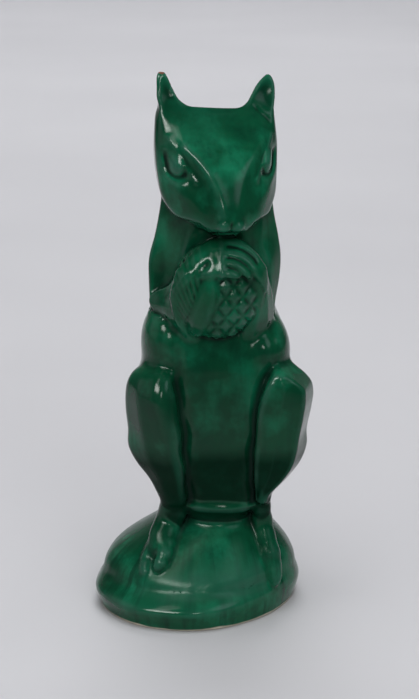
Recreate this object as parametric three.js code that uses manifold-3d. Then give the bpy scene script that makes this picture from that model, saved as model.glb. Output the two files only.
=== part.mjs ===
// A glazed earthenware money box: a squirrel sits on a mound and holds a nut to its chest.
// The castings are luted together and hollow, coins go in at the back of the head,
// and a cork under the mound lets them out. Millimetres, +Z up, the chest towards -Y.
import * as THREE from 'three';
import { mergeVertices } from 'three/addons/utils/BufferGeometryUtils.js';
import Module from 'manifold-3d';

const wasm = await Module();
wasm.setup();

// Clay
const WALL = 4;
const LUTE_GAP = 0.3;

// Mound, its place, and the place of the figure on it
const MOUND_WIDTH = 76.8;
const MOUND_DEPTH = 87;
const MOUND_SKEW_RATIO = 0.12;
const MOUND_EDGE_HEIGHT = 7;
const MOUND_EDGE_TUCK = 1.3;
const MOUND_ROLL = 1.1;
const MOUND_ROLL_HEIGHT = 6;
const MOUND_ROLL_SPAN = 2.6;
const MOUND_GROOVE = 0.5;
const MOUND_GROOVE_HEIGHT = 12;
const MOUND_GROOVE_SPAN = 3.2;
const MOUND_FLOOR = 5;
const MOUND_LEFT = -2.0;
const MOUND_BACK = 0;
const FOOT_RING_WIDTH = 6;
const FOOT_RING_HEIGHT = 1.5;
const FIGURE_LEFT = 4.9;
const FIGURE_AHEAD = 4.9;

// Torso, from the seat up to the neck: width, depth, rise over the level below, set-back and squareness
const SEAT_HEIGHT = 38;
const SEAT_WIDTH = 30;
const SEAT_DEPTH = 36;
const SEAT_BACK = 2;
const FOLD_RISE = 8;
const FOLD_WIDTH = 40;
const FOLD_DEPTH = 47;
const FOLD_SQUARENESS = 2.5;
const HIP_RISE = 16;
const HIP_WIDTH = 48;
const HIP_DEPTH = 50.4;
const HIP_BACK = 1;
const HIP_SQUARENESS = 3;
const WAIST_RISE = 36;
const WAIST_WIDTH = 56.4;
const WAIST_DEPTH = 51.8;
const WAIST_BACK = 1;
const WAIST_SQUARENESS = 2.7;
const RIBS_RISE = 14;
const RIBS_WIDTH = 52;
const RIBS_DEPTH = 45.6;
const RIBS_SQUARENESS = 2.5;
const CHEST_RISE = 14;
const CHEST_WIDTH = 41;
const CHEST_DEPTH = 36;
const CHEST_SQUARENESS = 2.3;
const SHOULDER_RISE = 16;
const SHOULDER_WIDTH = 39;
const SHOULDER_DEPTH = 33;
const NECK_RISE = 22;
const NECK_WIDTH = 33.5;
const NECK_DEPTH = 30;
const NECK_AHEAD = 5;
const NECK_SQUARENESS = 2.2;

// Full flanks above the haunches
const FLANK_SPREAD = 17.2;
const FLANK_AHEAD = 7.8;
const FLANK_RISE = 8;
const FLANK_WIDTH = 21.8;
const FLANK_DEPTH = 30.5;
const FLANK_HEIGHT = 29.5;

// Head, turned to the squirrel's left: a wedge from a flat crown down to the nose
const HEAD_TURN = 8;
const HEAD_WIDTH = 47.2;
const HEAD_HEIGHT = 46.6;
const HEAD_REACH = 32.2;
const HEAD_ROUNDING = 2.2;
const CHIN_DROP = 15.2;
const HOLLOW_FROM = 0.19;
const HOLLOW_TO = 0.85;

// Half of each outline of the head, from the chin up to the crown. Rises are shares of the head's height,
// and corners go from the middle of the face out and round to the nape, as shares of half its width and its reach
const HEAD_OUTLINES = [
  { rise: 0, corners: [[0, 0.85], [0.06, 0.84], [0.13, 0.81], [0.19, 0.71], [0.17, 0.53], [0.08, 0.47]] },
  { rise: 0.036, corners: [[0, 0.94], [0.11, 0.92], [0.23, 0.84], [0.36, 0.67], [0.34, 0.4], [0.17, 0.31]] },
  { rise: 0.079, corners: [[0, 0.98], [0.13, 0.96], [0.35, 0.84], [0.53, 0.62], [0.49, 0.25], [0.25, 0.16]] },
  { rise: 0.133, corners: [[0, 1], [0.14, 0.98], [0.45, 0.82], [0.7, 0.54], [0.64, 0.12], [0.34, 0]] },
  { rise: 0.197, corners: [[0, 1], [0.12, 0.98], [0.53, 0.78], [0.82, 0.47], [0.76, -0.03], [0.42, -0.19]] },
  { rise: 0.283, corners: [[0, 0.98], [0.12, 0.96], [0.6, 0.72], [0.92, 0.39], [0.87, -0.16], [0.51, -0.31]] },
  { rise: 0.412, corners: [[0, 0.91], [0.17, 0.89], [0.73, 0.61], [0.96, 0.31], [0.91, -0.25], [0.55, -0.4]] },
  { rise: 0.519, corners: [[0, 0.83], [0.26, 0.82], [0.8, 0.53], [0.99, 0.26], [0.93, -0.28], [0.57, -0.43]] },
  { rise: 0.616, corners: [[0, 0.74], [0.42, 0.71], [0.82, 0.48], [1, 0.23], [0.94, -0.28], [0.57, -0.45]] },
  { rise: 0.712, corners: [[0, 0.63], [0.61, 0.56], [0.85, 0.43], [1, 0.2], [0.94, -0.26], [0.55, -0.45]] },
  { rise: 0.841, corners: [[0, 0.46], [0.68, 0.4], [0.85, 0.31], [0.98, 0.17], [0.93, -0.22], [0.53, -0.42]] },
  { rise: 0.927, corners: [[0, 0.34], [0.64, 0.3], [0.81, 0.24], [0.95, 0.11], [0.87, -0.05], [0.47, -0.11]] },
  { rise: 1, corners: [[0, 0.22], [0.59, 0.19], [0.72, 0.15], [0.82, 0.12], [0.76, 0.03], [0.38, 0.03]] },
];

// Ears
const EAR_ROOT_SPREAD = 14;
const EAR_ROOT_WIDTH = 15;
const EAR_ROOT_DEPTH = 11;
const EAR_TIP_SPREAD = 20;
const EAR_TIP_WIDTH = 3.5;
const EAR_AHEAD = 3;
const EAR_ROOT_RISE = 26.5;
const EAR_SINK = 12;
const RIGHT_EAR_RISE = 17.5;
const LEFT_EAR_RISE = 15;

// Coin slot across the back of the head
const SLOT_LENGTH = 28;
const SLOT_HEIGHT = 5;
const SLOT_RISE = 19;

// Ankles, where the haunches go over into the feet
const ANKLE_SPREAD = 17;
const ANKLE_AHEAD = 13;
const ANKLE_WIDTH = 10.5;
const ANKLE_DEPTH = 14;
const ANKLE_RISE = 4;

// Haunches, from above the ankle up to the knee
const HAUNCH_REACH = 36;
const HAUNCH_AHEAD = 32;
const HAUNCH_HEIGHT = 57;
const HAUNCH_RISE = 2;
const RIGHT_HAUNCH_ROUNDING = 3.6;
const LEFT_HAUNCH_ROUNDING = 2;

// Outlines of the haunches. Rises are shares of a haunch's height, and corners, from the belly out and round
// to the back, are shares of how far the haunches reach out and ahead
const RIGHT_HAUNCH = [
  { rise: 0, corners: [[0.34, 0.66], [0.42, 0.72], [0.53, 0.64], [0.6, 0.53], [0.56, 0.19], [0.36, 0.19]] },
  { rise: 0.071, corners: [[0.33, 0.7], [0.42, 0.78], [0.54, 0.68], [0.62, 0.52], [0.58, 0.09], [0.33, 0.09]] },
  { rise: 0.179, corners: [[0.32, 0.75], [0.41, 0.84], [0.59, 0.69], [0.71, 0.47], [0.61, 0], [0.31, 0]] },
  { rise: 0.286, corners: [[0.33, 0.78], [0.43, 0.91], [0.67, 0.71], [0.84, 0.42], [0.67, -0.19], [0.28, -0.19]] },
  { rise: 0.393, corners: [[0.35, 0.8], [0.46, 0.95], [0.74, 0.72], [0.94, 0.38], [0.72, -0.31], [0.28, -0.28]] },
  { rise: 0.5, corners: [[0.36, 0.81], [0.49, 0.98], [0.78, 0.73], [0.96, 0.38], [0.75, -0.38], [0.28, -0.31]] },
  { rise: 0.661, corners: [[0.39, 0.81], [0.57, 1], [0.83, 0.74], [0.98, 0.38], [0.78, -0.41], [0.28, -0.34]] },
  { rise: 0.768, corners: [[0.41, 0.81], [0.62, 0.99], [0.84, 0.73], [0.98, 0.38], [0.78, -0.38], [0.28, -0.31]] },
  { rise: 0.839, corners: [[0.44, 0.82], [0.63, 0.94], [0.84, 0.71], [0.97, 0.39], [0.77, -0.31], [0.29, -0.26]] },
  { rise: 0.902, corners: [[0.47, 0.81], [0.62, 0.88], [0.81, 0.67], [0.92, 0.41], [0.74, -0.22], [0.32, -0.19]] },
  { rise: 0.955, corners: [[0.5, 0.75], [0.61, 0.78], [0.76, 0.61], [0.85, 0.42], [0.71, -0.11], [0.36, -0.09]] },
  { rise: 1, corners: [[0.52, 0.62], [0.6, 0.64], [0.69, 0.53], [0.76, 0.39], [0.67, 0.03], [0.39, 0.03]] },
];
const LEFT_HAUNCH = [
  { rise: 0, corners: [[0.38, 0.64], [0.43, 0.68], [0.49, 0.69], [0.56, 0.55], [0.53, 0.19], [0.36, 0.19]] },
  { rise: 0.071, corners: [[0.37, 0.7], [0.45, 0.74], [0.53, 0.75], [0.58, 0.53], [0.56, 0.09], [0.33, 0.09]] },
  { rise: 0.179, corners: [[0.37, 0.78], [0.51, 0.81], [0.64, 0.79], [0.7, 0.52], [0.58, 0], [0.31, 0]] },
  { rise: 0.286, corners: [[0.36, 0.81], [0.55, 0.85], [0.74, 0.82], [0.84, 0.44], [0.67, -0.19], [0.28, -0.19]] },
  { rise: 0.393, corners: [[0.36, 0.84], [0.57, 0.88], [0.79, 0.83], [0.92, 0.38], [0.72, -0.31], [0.28, -0.28]] },
  { rise: 0.5, corners: [[0.36, 0.86], [0.59, 0.89], [0.83, 0.84], [0.95, 0.38], [0.75, -0.38], [0.28, -0.31]] },
  { rise: 0.661, corners: [[0.39, 0.88], [0.63, 0.91], [0.88, 0.85], [1, 0.38], [0.78, -0.41], [0.28, -0.34]] },
  { rise: 0.768, corners: [[0.42, 0.89], [0.66, 0.91], [0.9, 0.85], [1.02, 0.38], [0.78, -0.38], [0.28, -0.31]] },
  { rise: 0.839, corners: [[0.46, 0.89], [0.68, 0.91], [0.89, 0.84], [1, 0.38], [0.77, -0.31], [0.29, -0.26]] },
  { rise: 0.902, corners: [[0.52, 0.88], [0.66, 0.89], [0.79, 0.84], [0.92, 0.41], [0.74, -0.22], [0.32, -0.19]] },
  { rise: 0.955, corners: [[0.56, 0.83], [0.62, 0.84], [0.67, 0.82], [0.83, 0.44], [0.71, -0.11], [0.36, -0.09]] },
  { rise: 1, corners: [[0.57, 0.64], [0.59, 0.66], [0.61, 0.65], [0.76, 0.39], [0.67, 0.03], [0.39, 0.03]] },
];

// Feet, lying down the mound's slope
const FOOT_WIDTH = 13;
const FOOT_THICKNESS = 9;
const TOE_WIDTH = 11;
const TOE_THICKNESS = 6;
const RIGHT_TOE_SPREAD = 25;
const RIGHT_TOE_FROM_FRONT = 11.6;
const LEFT_TOE_SPREAD = 20.8;
const LEFT_TOE_FROM_FRONT = 17;

// Arms: a broad upper arm down the side, and a forearm up beside the nut
const ARM_REACH = 27.4;
const ARM_AHEAD = 32;
const ARM_LENGTH = 54;
const ARM_DROP = 30;
const UPPER_ARM_ROUNDING = 2.2;
const FOREARM_ROUNDING = 1.4;

// Outlines of the arms. Rises are shares of an upper arm's length, from the elbow, and corners are shares
// of how far the arms reach out and ahead
const RIGHT_UPPER_ARM = [
  { rise: 0, corners: [[0.51, 0.38], [0.89, 0.31], [0.82, 0.09], [0.44, 0.09]] },
  { rise: 0.093, corners: [[0.51, 0.44], [0.95, 0.31], [0.86, 0.03], [0.4, 0.03]] },
  { rise: 0.185, corners: [[0.47, 0.5], [0.98, 0.28], [0.89, -0.03], [0.36, -0.06]] },
  { rise: 0.333, corners: [[0.44, 0.55], [1, 0.22], [0.91, -0.09], [0.36, -0.16]] },
  { rise: 0.481, corners: [[0.4, 0.56], [0.98, 0.17], [0.89, -0.16], [0.33, -0.22]] },
  { rise: 0.63, corners: [[0.33, 0.58], [0.9, 0.16], [0.82, -0.19], [0.29, -0.25]] },
  { rise: 0.778, corners: [[0.26, 0.59], [0.81, 0.19], [0.73, -0.19], [0.26, -0.25]] },
  { rise: 1, corners: [[0.22, 0.56], [0.74, 0.19], [0.66, -0.19], [0.22, -0.25]] },
];
const LEFT_UPPER_ARM = [
  { rise: 0, corners: [[0.4, 0.41], [0.61, 0.41], [0.75, 0.28], [0.69, 0.06], [0.36, 0.06]] },
  { rise: 0.093, corners: [[0.4, 0.45], [0.68, 0.43], [0.82, 0.28], [0.74, 0], [0.33, -0.03]] },
  { rise: 0.185, corners: [[0.38, 0.48], [0.72, 0.43], [0.84, 0.25], [0.77, -0.06], [0.33, -0.09]] },
  { rise: 0.333, corners: [[0.36, 0.5], [0.74, 0.42], [0.87, 0.19], [0.8, -0.12], [0.33, -0.16]] },
  { rise: 0.481, corners: [[0.33, 0.53], [0.7, 0.44], [0.89, 0.12], [0.8, -0.16], [0.33, -0.22]] },
  { rise: 0.63, corners: [[0.29, 0.56], [0.62, 0.44], [0.85, 0.12], [0.77, -0.19], [0.29, -0.25]] },
  { rise: 0.778, corners: [[0.26, 0.58], [0.61, 0.39], [0.8, 0.14], [0.73, -0.19], [0.26, -0.25]] },
  { rise: 1, corners: [[0.22, 0.56], [0.57, 0.38], [0.74, 0.16], [0.68, -0.19], [0.22, -0.25]] },
];
const RIGHT_FOREARM = [
  { rise: -0.05, corners: [[0.55, 0.47], [0.46, 0.59], [0.38, 0.69], [0.26, 0.69], [0.26, 0.19], [0.47, 0.19]] },
  { rise: 0.019, corners: [[0.69, 0.47], [0.57, 0.66], [0.48, 0.77], [0.29, 0.77], [0.29, 0.19], [0.58, 0.19]] },
  { rise: 0.093, corners: [[0.84, 0.42], [0.68, 0.67], [0.56, 0.81], [0.33, 0.81], [0.33, 0.16], [0.73, 0.16]] },
  { rise: 0.167, corners: [[0.97, 0.34], [0.74, 0.69], [0.61, 0.84], [0.36, 0.84], [0.36, 0.12], [0.84, 0.12]] },
  { rise: 0.222, corners: [[0.97, 0.33], [0.72, 0.74], [0.62, 0.86], [0.36, 0.88], [0.36, 0.12], [0.84, 0.12]] },
  { rise: 0.278, corners: [[0.91, 0.38], [0.66, 0.83], [0.61, 0.89], [0.36, 0.91], [0.36, 0.16], [0.77, 0.16]] },
  { rise: 0.333, corners: [[0.77, 0.55], [0.62, 0.89], [0.57, 0.92], [0.36, 0.94], [0.36, 0.19], [0.66, 0.19]] },
  { rise: 0.419, corners: [[0.65, 0.74], [0.51, 0.97], [0.44, 0.99], [0.29, 0.99], [0.29, 0.25], [0.55, 0.25]] },
  { rise: 0.481, corners: [[0.58, 0.81], [0.43, 0.99], [0.37, 1], [0.23, 1], [0.23, 0.31], [0.48, 0.31]] },
];
const LEFT_FOREARM = [
  { rise: -0.05, corners: [[0.72, 0.39], [0.64, 0.55], [0.48, 0.66], [0.33, 0.66], [0.33, 0.12], [0.62, 0.12]] },
  { rise: 0.019, corners: [[0.77, 0.41], [0.68, 0.58], [0.5, 0.72], [0.33, 0.72], [0.33, 0.12], [0.68, 0.12]] },
  { rise: 0.111, corners: [[0.77, 0.45], [0.68, 0.65], [0.53, 0.79], [0.33, 0.79], [0.33, 0.16], [0.68, 0.16]] },
  { rise: 0.259, corners: [[0.75, 0.58], [0.66, 0.76], [0.57, 0.86], [0.33, 0.88], [0.33, 0.19], [0.66, 0.19]] },
  { rise: 0.407, corners: [[0.69, 0.71], [0.63, 0.84], [0.54, 0.94], [0.33, 0.94], [0.33, 0.25], [0.6, 0.25]] },
  { rise: 0.5, corners: [[0.65, 0.79], [0.58, 0.91], [0.49, 0.98], [0.33, 0.98], [0.33, 0.31], [0.55, 0.31]] },
];

// Paws: a leaning dome over the top of the nut, parted in the middle
const PAWS_WIDTH = 35.2;
const PAWS_DEPTH = 27.2;
const PAWS_HEIGHT = 36.6;
const PAWS_LEFT = 0.9;
const PAWS_BACK = 0.4;
const PAWS_RISE = 2;
const PAWS_LEAN = 0.11;
const PAWS_EDGE_RISE = 7;
const PAWS_PARTING = 0.6;

// Nut held to the chest
const NUT_WIDTH = 33.2;
const NUT_HEIGHT = 36.8;
const NUT_DEPTH = 23.6;
const NUT_LEFT = -0.8;
const NUT_RISE = 2.6;
const NUT_BITE = 6.4;

// Tail: it rises up the back and curls away at the tip
const TAIL_ROOT_WIDTH = 26;
const TAIL_ROOT_DEPTH = 20;
const TAIL_LOW_WIDTH = 34;
const TAIL_WIDTH = 40;
const TAIL_DEPTH = 23;
const TAIL_TOP_WIDTH = 35;
const TAIL_TOP_DEPTH = 18;
const TAIL_TIP_WIDTH = 19;
const TAIL_TIP_DEPTH = 10;
const TAIL_END_WIDTH = 6;
const TAIL_END_DEPTH = 4;
const TAIL_END_RISE = 6;
const TAIL_LEFT = 1;
const TAIL_BITE = 6;
const TAIL_CURL = 6;
const TAIL_TIP_RISE = 4;

// Cork stopper
const CORK_DIAMETER = 30;
const CORK_TAPER = 2;
const CORK_LENGTH = 13;
const CORK_RECESS = 1;
const CORK_CHAMFER = 0.8;

// Facets
const LARGE_SIDES = 22;
const SMALL_SIDES = 14;
const STEPS_PER_SPAN = 3;
const DOME_SPANS = 3;
const OUTLINE_STEPS = 2;
const ROUND_CORNER = [0, 0.5, 1];
const SHARP_CORNER = [0.5];
const HALVINGS = 24;
const MERGE_DISTANCE = 1e-4;
const THROUGH = 20;
const RIGHT = -1;
const LEFT = 1;

// Levels and places that several pieces share
const foldHeight = SEAT_HEIGHT + FOLD_RISE;
const hipHeight = foldHeight + HIP_RISE;
const waistHeight = hipHeight + WAIST_RISE;
const ribsHeight = waistHeight + RIBS_RISE;
const chestHeight = ribsHeight + CHEST_RISE;
const shoulderHeight = chestHeight + SHOULDER_RISE;
const neckHeight = shoulderHeight + NECK_RISE;
const ankleHeight = SEAT_HEIGHT + ANKLE_RISE;
const nutHeight = chestHeight + NUT_RISE;
const nutAhead = CHEST_DEPTH / 2 + NUT_DEPTH / 2 - NUT_BITE;
const moundPlace = new THREE.Vector3(MOUND_LEFT, MOUND_BACK, 0);
const figurePlace = new THREE.Vector3(FIGURE_LEFT, -FIGURE_AHEAD, 0);
const moundFromFigure = moundPlace.clone().sub(figurePlace);
const moundFront = MOUND_DEPTH / 2 - moundFromFigure.y;

// A closed geometry as a solid that can be cut and joined
function solid(geometry) {
  const bare = geometry.clone();
  bare.deleteAttribute('normal');
  bare.deleteAttribute('uv');
  const merged = mergeVertices(bare, MERGE_DISTANCE);
  return new wasm.Manifold(new wasm.Mesh({
    numProp: 3,
    vertProperties: merged.attributes.position.array,
    triVerts: new Uint32Array(merged.index.array),
  }));
}

// A solid's main body as geometry, without the slivers that a cut can leave
function geometryOf(made) {
  const bodies = made.decompose().sort((a, b) => b.volume() - a.volume());
  const { vertProperties, triVerts } = bodies[0].getMesh();
  const geometry = new THREE.BufferGeometry();
  geometry.setAttribute('position', new THREE.BufferAttribute(vertProperties, 3));
  geometry.setIndex(new THREE.BufferAttribute(triVerts, 1));
  geometry.computeVertexNormals();
  return geometry;
}

// A closed geometry through level or leaning rings of points
function skin(rings) {
  const sides = rings[0].length;
  const top = (rings.length - 1) * sides;
  const points = rings.flat().flatMap((point) => point.toArray());
  const faces = [];
  for (let j = 0; j < sides; j++) {
    const next = (j + 1) % sides;
    for (let low = 0; low < top; low += sides) {
      faces.push(low + j, low + next, low + sides + next);
      faces.push(low + j, low + sides + next, low + sides + j);
    }
    if (j > 0 && j < sides - 1) faces.push(0, next, j, top, top + j, top + next);
  }
  const geometry = new THREE.BufferGeometry();
  geometry.setAttribute('position', new THREE.Float32BufferAttribute(points, 3));
  geometry.setIndex(faces);
  return geometry;
}

// One oval section of a loft: its centre, width, depth and squareness, of which 2 is a true ellipse
function section(x, y, z, width, depth, squareness = 2) {
  return { at: new THREE.Vector3(x, y, z), size: new THREE.Vector3(width / 2, depth / 2, squareness) };
}

// A closed geometry through oval sections. Level sections stay flat, others stand square to the spine.
// grow widens every section, and first and last lengthen the two ends.
function loft(sections, sides, { level = true, grow = 0, first = grow, last = grow } = {}) {
  const spine = new THREE.CatmullRomCurve3(sections.map((s) => s.at), false, 'catmullrom');
  const girth = new THREE.CatmullRomCurve3(sections.map((s) => s.size), false, 'catmullrom');
  const steps = (sections.length - 1) * STEPS_PER_SPAN;
  const up = new THREE.Vector3(0, 0, 1);
  const rings = [];
  for (let i = 0; i <= steps; i++) {
    const along = level ? up : spine.getTangent(i / steps);
    const across = new THREE.Vector3(1, 0, 0);
    across.addScaledVector(along, -across.dot(along)).normalize();
    const out = new THREE.Vector3().crossVectors(along, across);
    const centre = spine.getPoint(i / steps);
    if (i === 0) centre.addScaledVector(along, -first);
    if (i === steps) centre.addScaledVector(along, last);
    const size = girth.getPoint(i / steps);
    const squared = (value) => Math.sign(value) * Math.abs(value) ** (2 / size.z);
    const ring = [];
    for (let j = 0; j < sides; j++) {
      const angle = (2 * Math.PI * j) / sides;
      const point = centre.clone();
      point.addScaledVector(across, (size.x + grow) * squared(Math.cos(angle)));
      point.addScaledVector(out, (size.y + grow) * squared(Math.sin(angle)));
      ring.push(point);
    }
    rings.push(ring);
  }
  return skin(rings);
}

// Points round level corners, which are rounded. grow moves every side outwards.
function rounded(corners, rounding, grow) {
  const count = corners.length;
  const radius = Math.max(rounding + grow, 0);
  const shares = radius > 0 ? ROUND_CORNER : SHARP_CORNER;
  const normals = corners.map((corner, i) => {
    const edge = corners[(i + 1) % count].clone().sub(corner);
    return new THREE.Vector3(edge.y, -edge.x, 0).normalize();
  });
  return corners.flatMap((corner, i) => {
    const before = normals[(i + count - 1) % count];
    const after = normals[i];
    const mitre = before.clone().add(after).divideScalar(1 + before.dot(after));
    const centre = corner.clone().addScaledVector(mitre, grow - radius);
    return shares.map((share) => {
      const out = before.clone().lerp(after, share).normalize();
      return out.multiplyScalar(radius).add(centre);
    });
  });
}

// A closed geometry through level outlines, whose rises and corners are shares of a size.
// grow moves every side outwards, and first and last lengthen the two ends.
function outlined(outlines, side, bottom, size, rounding, { grow = 0, first = grow, last = grow } = {}) {
  const place = ([out, ahead], rise) => new THREE.Vector3(
    side * out * size.x, -ahead * size.y, bottom + rise * size.z,
  );
  const edges = outlines[0].corners.map((_, k) => new THREE.CatmullRomCurve3(
    outlines.map(({ rise, corners }) => place(corners[k], rise)), false, 'catmullrom',
  ));
  if (THREE.ShapeUtils.area(edges.map((edge) => edge.points[0])) < 0) edges.reverse();
  const steps = (outlines.length - 1) * OUTLINE_STEPS;
  const rings = [];
  for (let i = 0; i <= steps; i++) {
    const ring = rounded(edges.map((edge) => edge.getPoint(i / steps)), rounding, grow);
    if (i === 0) ring.forEach((point) => point.setZ(point.z - first));
    if (i === steps) ring.forEach((point) => point.setZ(point.z + last));
    rings.push(ring);
  }
  return skin(rings);
}

function ellipsoid(centre, width, depth, height, sides) {
  const ball = new THREE.SphereGeometry(1, sides, sides / 2).rotateX(Math.PI / 2);
  return solid(ball.scale(width / 2, depth / 2, height / 2).translate(...centre.toArray()));
}

// A swelling that is full at one height and fades within a span
function swelling(height, middle, span) {
  return Math.exp(-(((height - middle) / span) ** 2));
}

// How far a height is up the dome, from its edge to the seat
function moundRise(height) {
  return THREE.MathUtils.clamp((height - MOUND_EDGE_HEIGHT) / (SEAT_HEIGHT - MOUND_EDGE_HEIGHT), 0, 1);
}

// How far the mound's front lies to the right of its axis, at a height and a distance behind the axis
function moundShift(height, behind) {
  return MOUND_SKEW_RATIO * (1 - moundRise(height)) * behind;
}

// The mound's outline at a height, in the figure's frame: a tucked and rolled edge, then a dome up to the seat
function moundSection(height) {
  const rise = moundRise(height);
  const tuck = Math.max(0, 1 - height / MOUND_EDGE_HEIGHT);
  const swell = Math.cos((rise * Math.PI) / 2);
  const roll = MOUND_ROLL * swelling(height, MOUND_ROLL_HEIGHT, MOUND_ROLL_SPAN);
  const groove = MOUND_GROOVE * swelling(height, MOUND_GROOVE_HEIGHT, MOUND_GROOVE_SPAN);
  const drawnIn = 2 * (MOUND_EDGE_TUCK * tuck * tuck + groove - roll);
  return section(
    moundFromFigure.x * (1 - rise),
    SEAT_BACK * rise + moundFromFigure.y * (1 - rise),
    height,
    SEAT_WIDTH + (MOUND_WIDTH - SEAT_WIDTH) * swell - drawnIn,
    SEAT_DEPTH + (MOUND_DEPTH - SEAT_DEPTH) * swell - drawnIn,
  );
}

// Height of the dome over a point of the figure's frame
function moundTop(x, y) {
  let low = MOUND_EDGE_HEIGHT;
  let high = SEAT_HEIGHT;
  for (let i = 0; i < HALVINGS; i++) {
    const middle = (low + high) / 2;
    const { at, size } = moundSection(middle);
    const across = x - at.x - moundShift(middle, y - at.y);
    const inside = (across / size.x) ** 2 + ((y - at.y) / size.y) ** 2 < 1;
    if (inside) low = middle;
    else high = middle;
  }
  return low;
}

// A loft of the mound's, drawn askew towards the front
function skewedLoft(sections, options) {
  const geometry = loft(sections, LARGE_SIDES, options);
  const { position } = geometry.attributes;
  for (let i = 0; i < position.count; i++) {
    const height = Math.min(position.getZ(i), SEAT_HEIGHT);
    const behind = position.getY(i) - moundSection(height).at.y;
    position.setX(i, position.getX(i) + moundShift(height, behind));
  }
  return solid(geometry);
}

function moundSolid(options, bottom = 0) {
  const brim = (MOUND_ROLL_HEIGHT + MOUND_GROOVE_HEIGHT) / 2;
  const levels = [0, MOUND_ROLL_HEIGHT / 2, MOUND_ROLL_HEIGHT, brim, MOUND_GROOVE_HEIGHT];
  for (let i = 1; i <= DOME_SPANS; i++) {
    levels.push(MOUND_GROOVE_HEIGHT + ((SEAT_HEIGHT - MOUND_GROOVE_HEIGHT) * i) / DOME_SPANS);
  }
  const kept = [bottom, ...levels.filter((height) => height > bottom)];
  return skewedLoft(kept.map(moundSection), options);
}

// The cork's shape, or its hole when it is grown: wider below, with chamfered edges
function corkSolid(grow = 0, chamfer = CORK_CHAMFER, through = 0) {
  const spread = (CORK_TAPER / 2) * (through / CORK_LENGTH);
  const low = CORK_DIAMETER / 2 + grow + spread;
  const high = (CORK_DIAMETER - CORK_TAPER) / 2 + grow - spread;
  const bottom = CORK_RECESS - through;
  const top = CORK_RECESS + CORK_LENGTH + through;
  const profile = [
    new THREE.Vector2(0, bottom),
    new THREE.Vector2(low - chamfer, bottom),
    new THREE.Vector2(low, bottom + chamfer),
    new THREE.Vector2(high, top - chamfer),
    new THREE.Vector2(high - chamfer, top),
    new THREE.Vector2(0, top),
  ];
  const turned = new THREE.LatheGeometry(profile, LARGE_SIDES).rotateX(Math.PI / 2);
  return solid(turned.translate(...moundFromFigure.toArray()));
}

function mound() {
  const floorTop = FOOT_RING_HEIGHT + MOUND_FLOOR;
  const hollow = moundSolid({ grow: -WALL, first: 0, last: THROUGH }, floorTop);
  const { at, size } = moundSection(0);
  const recess = [0, FOOT_RING_HEIGHT].map((height) => section(
    at.x, at.y, height, 2 * (size.x - FOOT_RING_WIDTH), 2 * (size.y - FOOT_RING_WIDTH),
  ));
  const underside = skewedLoft(recess, { first: THROUGH, last: 0 });
  const corkHole = corkSolid(LUTE_GAP, 0, CORK_RECESS);
  return moundSolid().subtract(hollow).subtract(underside).subtract(corkHole);
}

function torsoLoft(options) {
  return solid(loft([
    section(0, SEAT_BACK, SEAT_HEIGHT + LUTE_GAP, SEAT_WIDTH, SEAT_DEPTH),
    section(0, HIP_BACK, foldHeight, FOLD_WIDTH, FOLD_DEPTH, FOLD_SQUARENESS),
    section(0, HIP_BACK, hipHeight, HIP_WIDTH, HIP_DEPTH, HIP_SQUARENESS),
    section(0, WAIST_BACK, waistHeight, WAIST_WIDTH, WAIST_DEPTH, WAIST_SQUARENESS),
    section(0, 0, ribsHeight, RIBS_WIDTH, RIBS_DEPTH, RIBS_SQUARENESS),
    section(0, 0, chestHeight, CHEST_WIDTH, CHEST_DEPTH, CHEST_SQUARENESS),
    section(0, 0, shoulderHeight, SHOULDER_WIDTH, SHOULDER_DEPTH, NECK_SQUARENESS),
    section(0, -NECK_AHEAD, neckHeight, NECK_WIDTH, NECK_DEPTH, NECK_SQUARENESS),
  ], LARGE_SIDES, options));
}

function torsoSolid(grow = 0) {
  const spare = 2 * grow;
  const flank = (side) => ellipsoid(
    new THREE.Vector3(side * FLANK_SPREAD, -FLANK_AHEAD, waistHeight + FLANK_RISE),
    FLANK_WIDTH + spare, FLANK_DEPTH + spare, FLANK_HEIGHT + spare, LARGE_SIDES,
  );
  return torsoLoft({ grow }).add(flank(RIGHT)).add(flank(LEFT));
}

function torso() {
  return torsoSolid().subtract(torsoLoft({ grow: -WALL, first: THROUGH, last: THROUGH }));
}

function turnedWithHead(geometry) {
  return geometry.rotateZ(THREE.MathUtils.degToRad(HEAD_TURN));
}

// The skull and muzzle in one, turned on the neck
function headSolid(grow = 0, outlines = HEAD_OUTLINES, ends = {}) {
  const whole = outlines.map(({ rise, corners }) => {
    const others = corners.slice(1).reverse().map(([out, ahead]) => [-out, ahead]);
    return { rise, corners: [...corners, ...others] };
  });
  const size = new THREE.Vector3(HEAD_WIDTH / 2, HEAD_REACH, HEAD_HEIGHT);
  const options = { grow, ...ends };
  return solid(turnedWithHead(outlined(whole, LEFT, neckHeight - CHIN_DROP, size, HEAD_ROUNDING, options)));
}

function head() {
  const back = HEAD_REACH / 2 + THROUGH;
  const slot = new THREE.BoxGeometry(SLOT_LENGTH, back, SLOT_HEIGHT);
  slot.translate(0, back / 2, neckHeight + SLOT_RISE);
  const around = HEAD_OUTLINES.filter(({ rise }) => rise > HOLLOW_FROM && rise < HOLLOW_TO);
  const hollow = headSolid(-WALL, around, { first: 0, last: -WALL / 2 });
  return headSolid()
    .subtract(hollow)
    .subtract(solid(turnedWithHead(slot)))
    .subtract(torsoSolid(LUTE_GAP));
}

function ear(side, rise) {
  const root = (height) => section(
    side * EAR_ROOT_SPREAD, -EAR_AHEAD, height, EAR_ROOT_WIDTH, EAR_ROOT_DEPTH,
  );
  const rootHeight = neckHeight + EAR_ROOT_RISE;
  const shape = loft([
    root(rootHeight - EAR_SINK),
    root(rootHeight),
    section(side * EAR_TIP_SPREAD, -EAR_AHEAD, rootHeight + rise, EAR_TIP_WIDTH, EAR_TIP_WIDTH),
  ], SMALL_SIDES);
  return solid(turnedWithHead(shape)).subtract(headSolid(LUTE_GAP));
}

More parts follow.
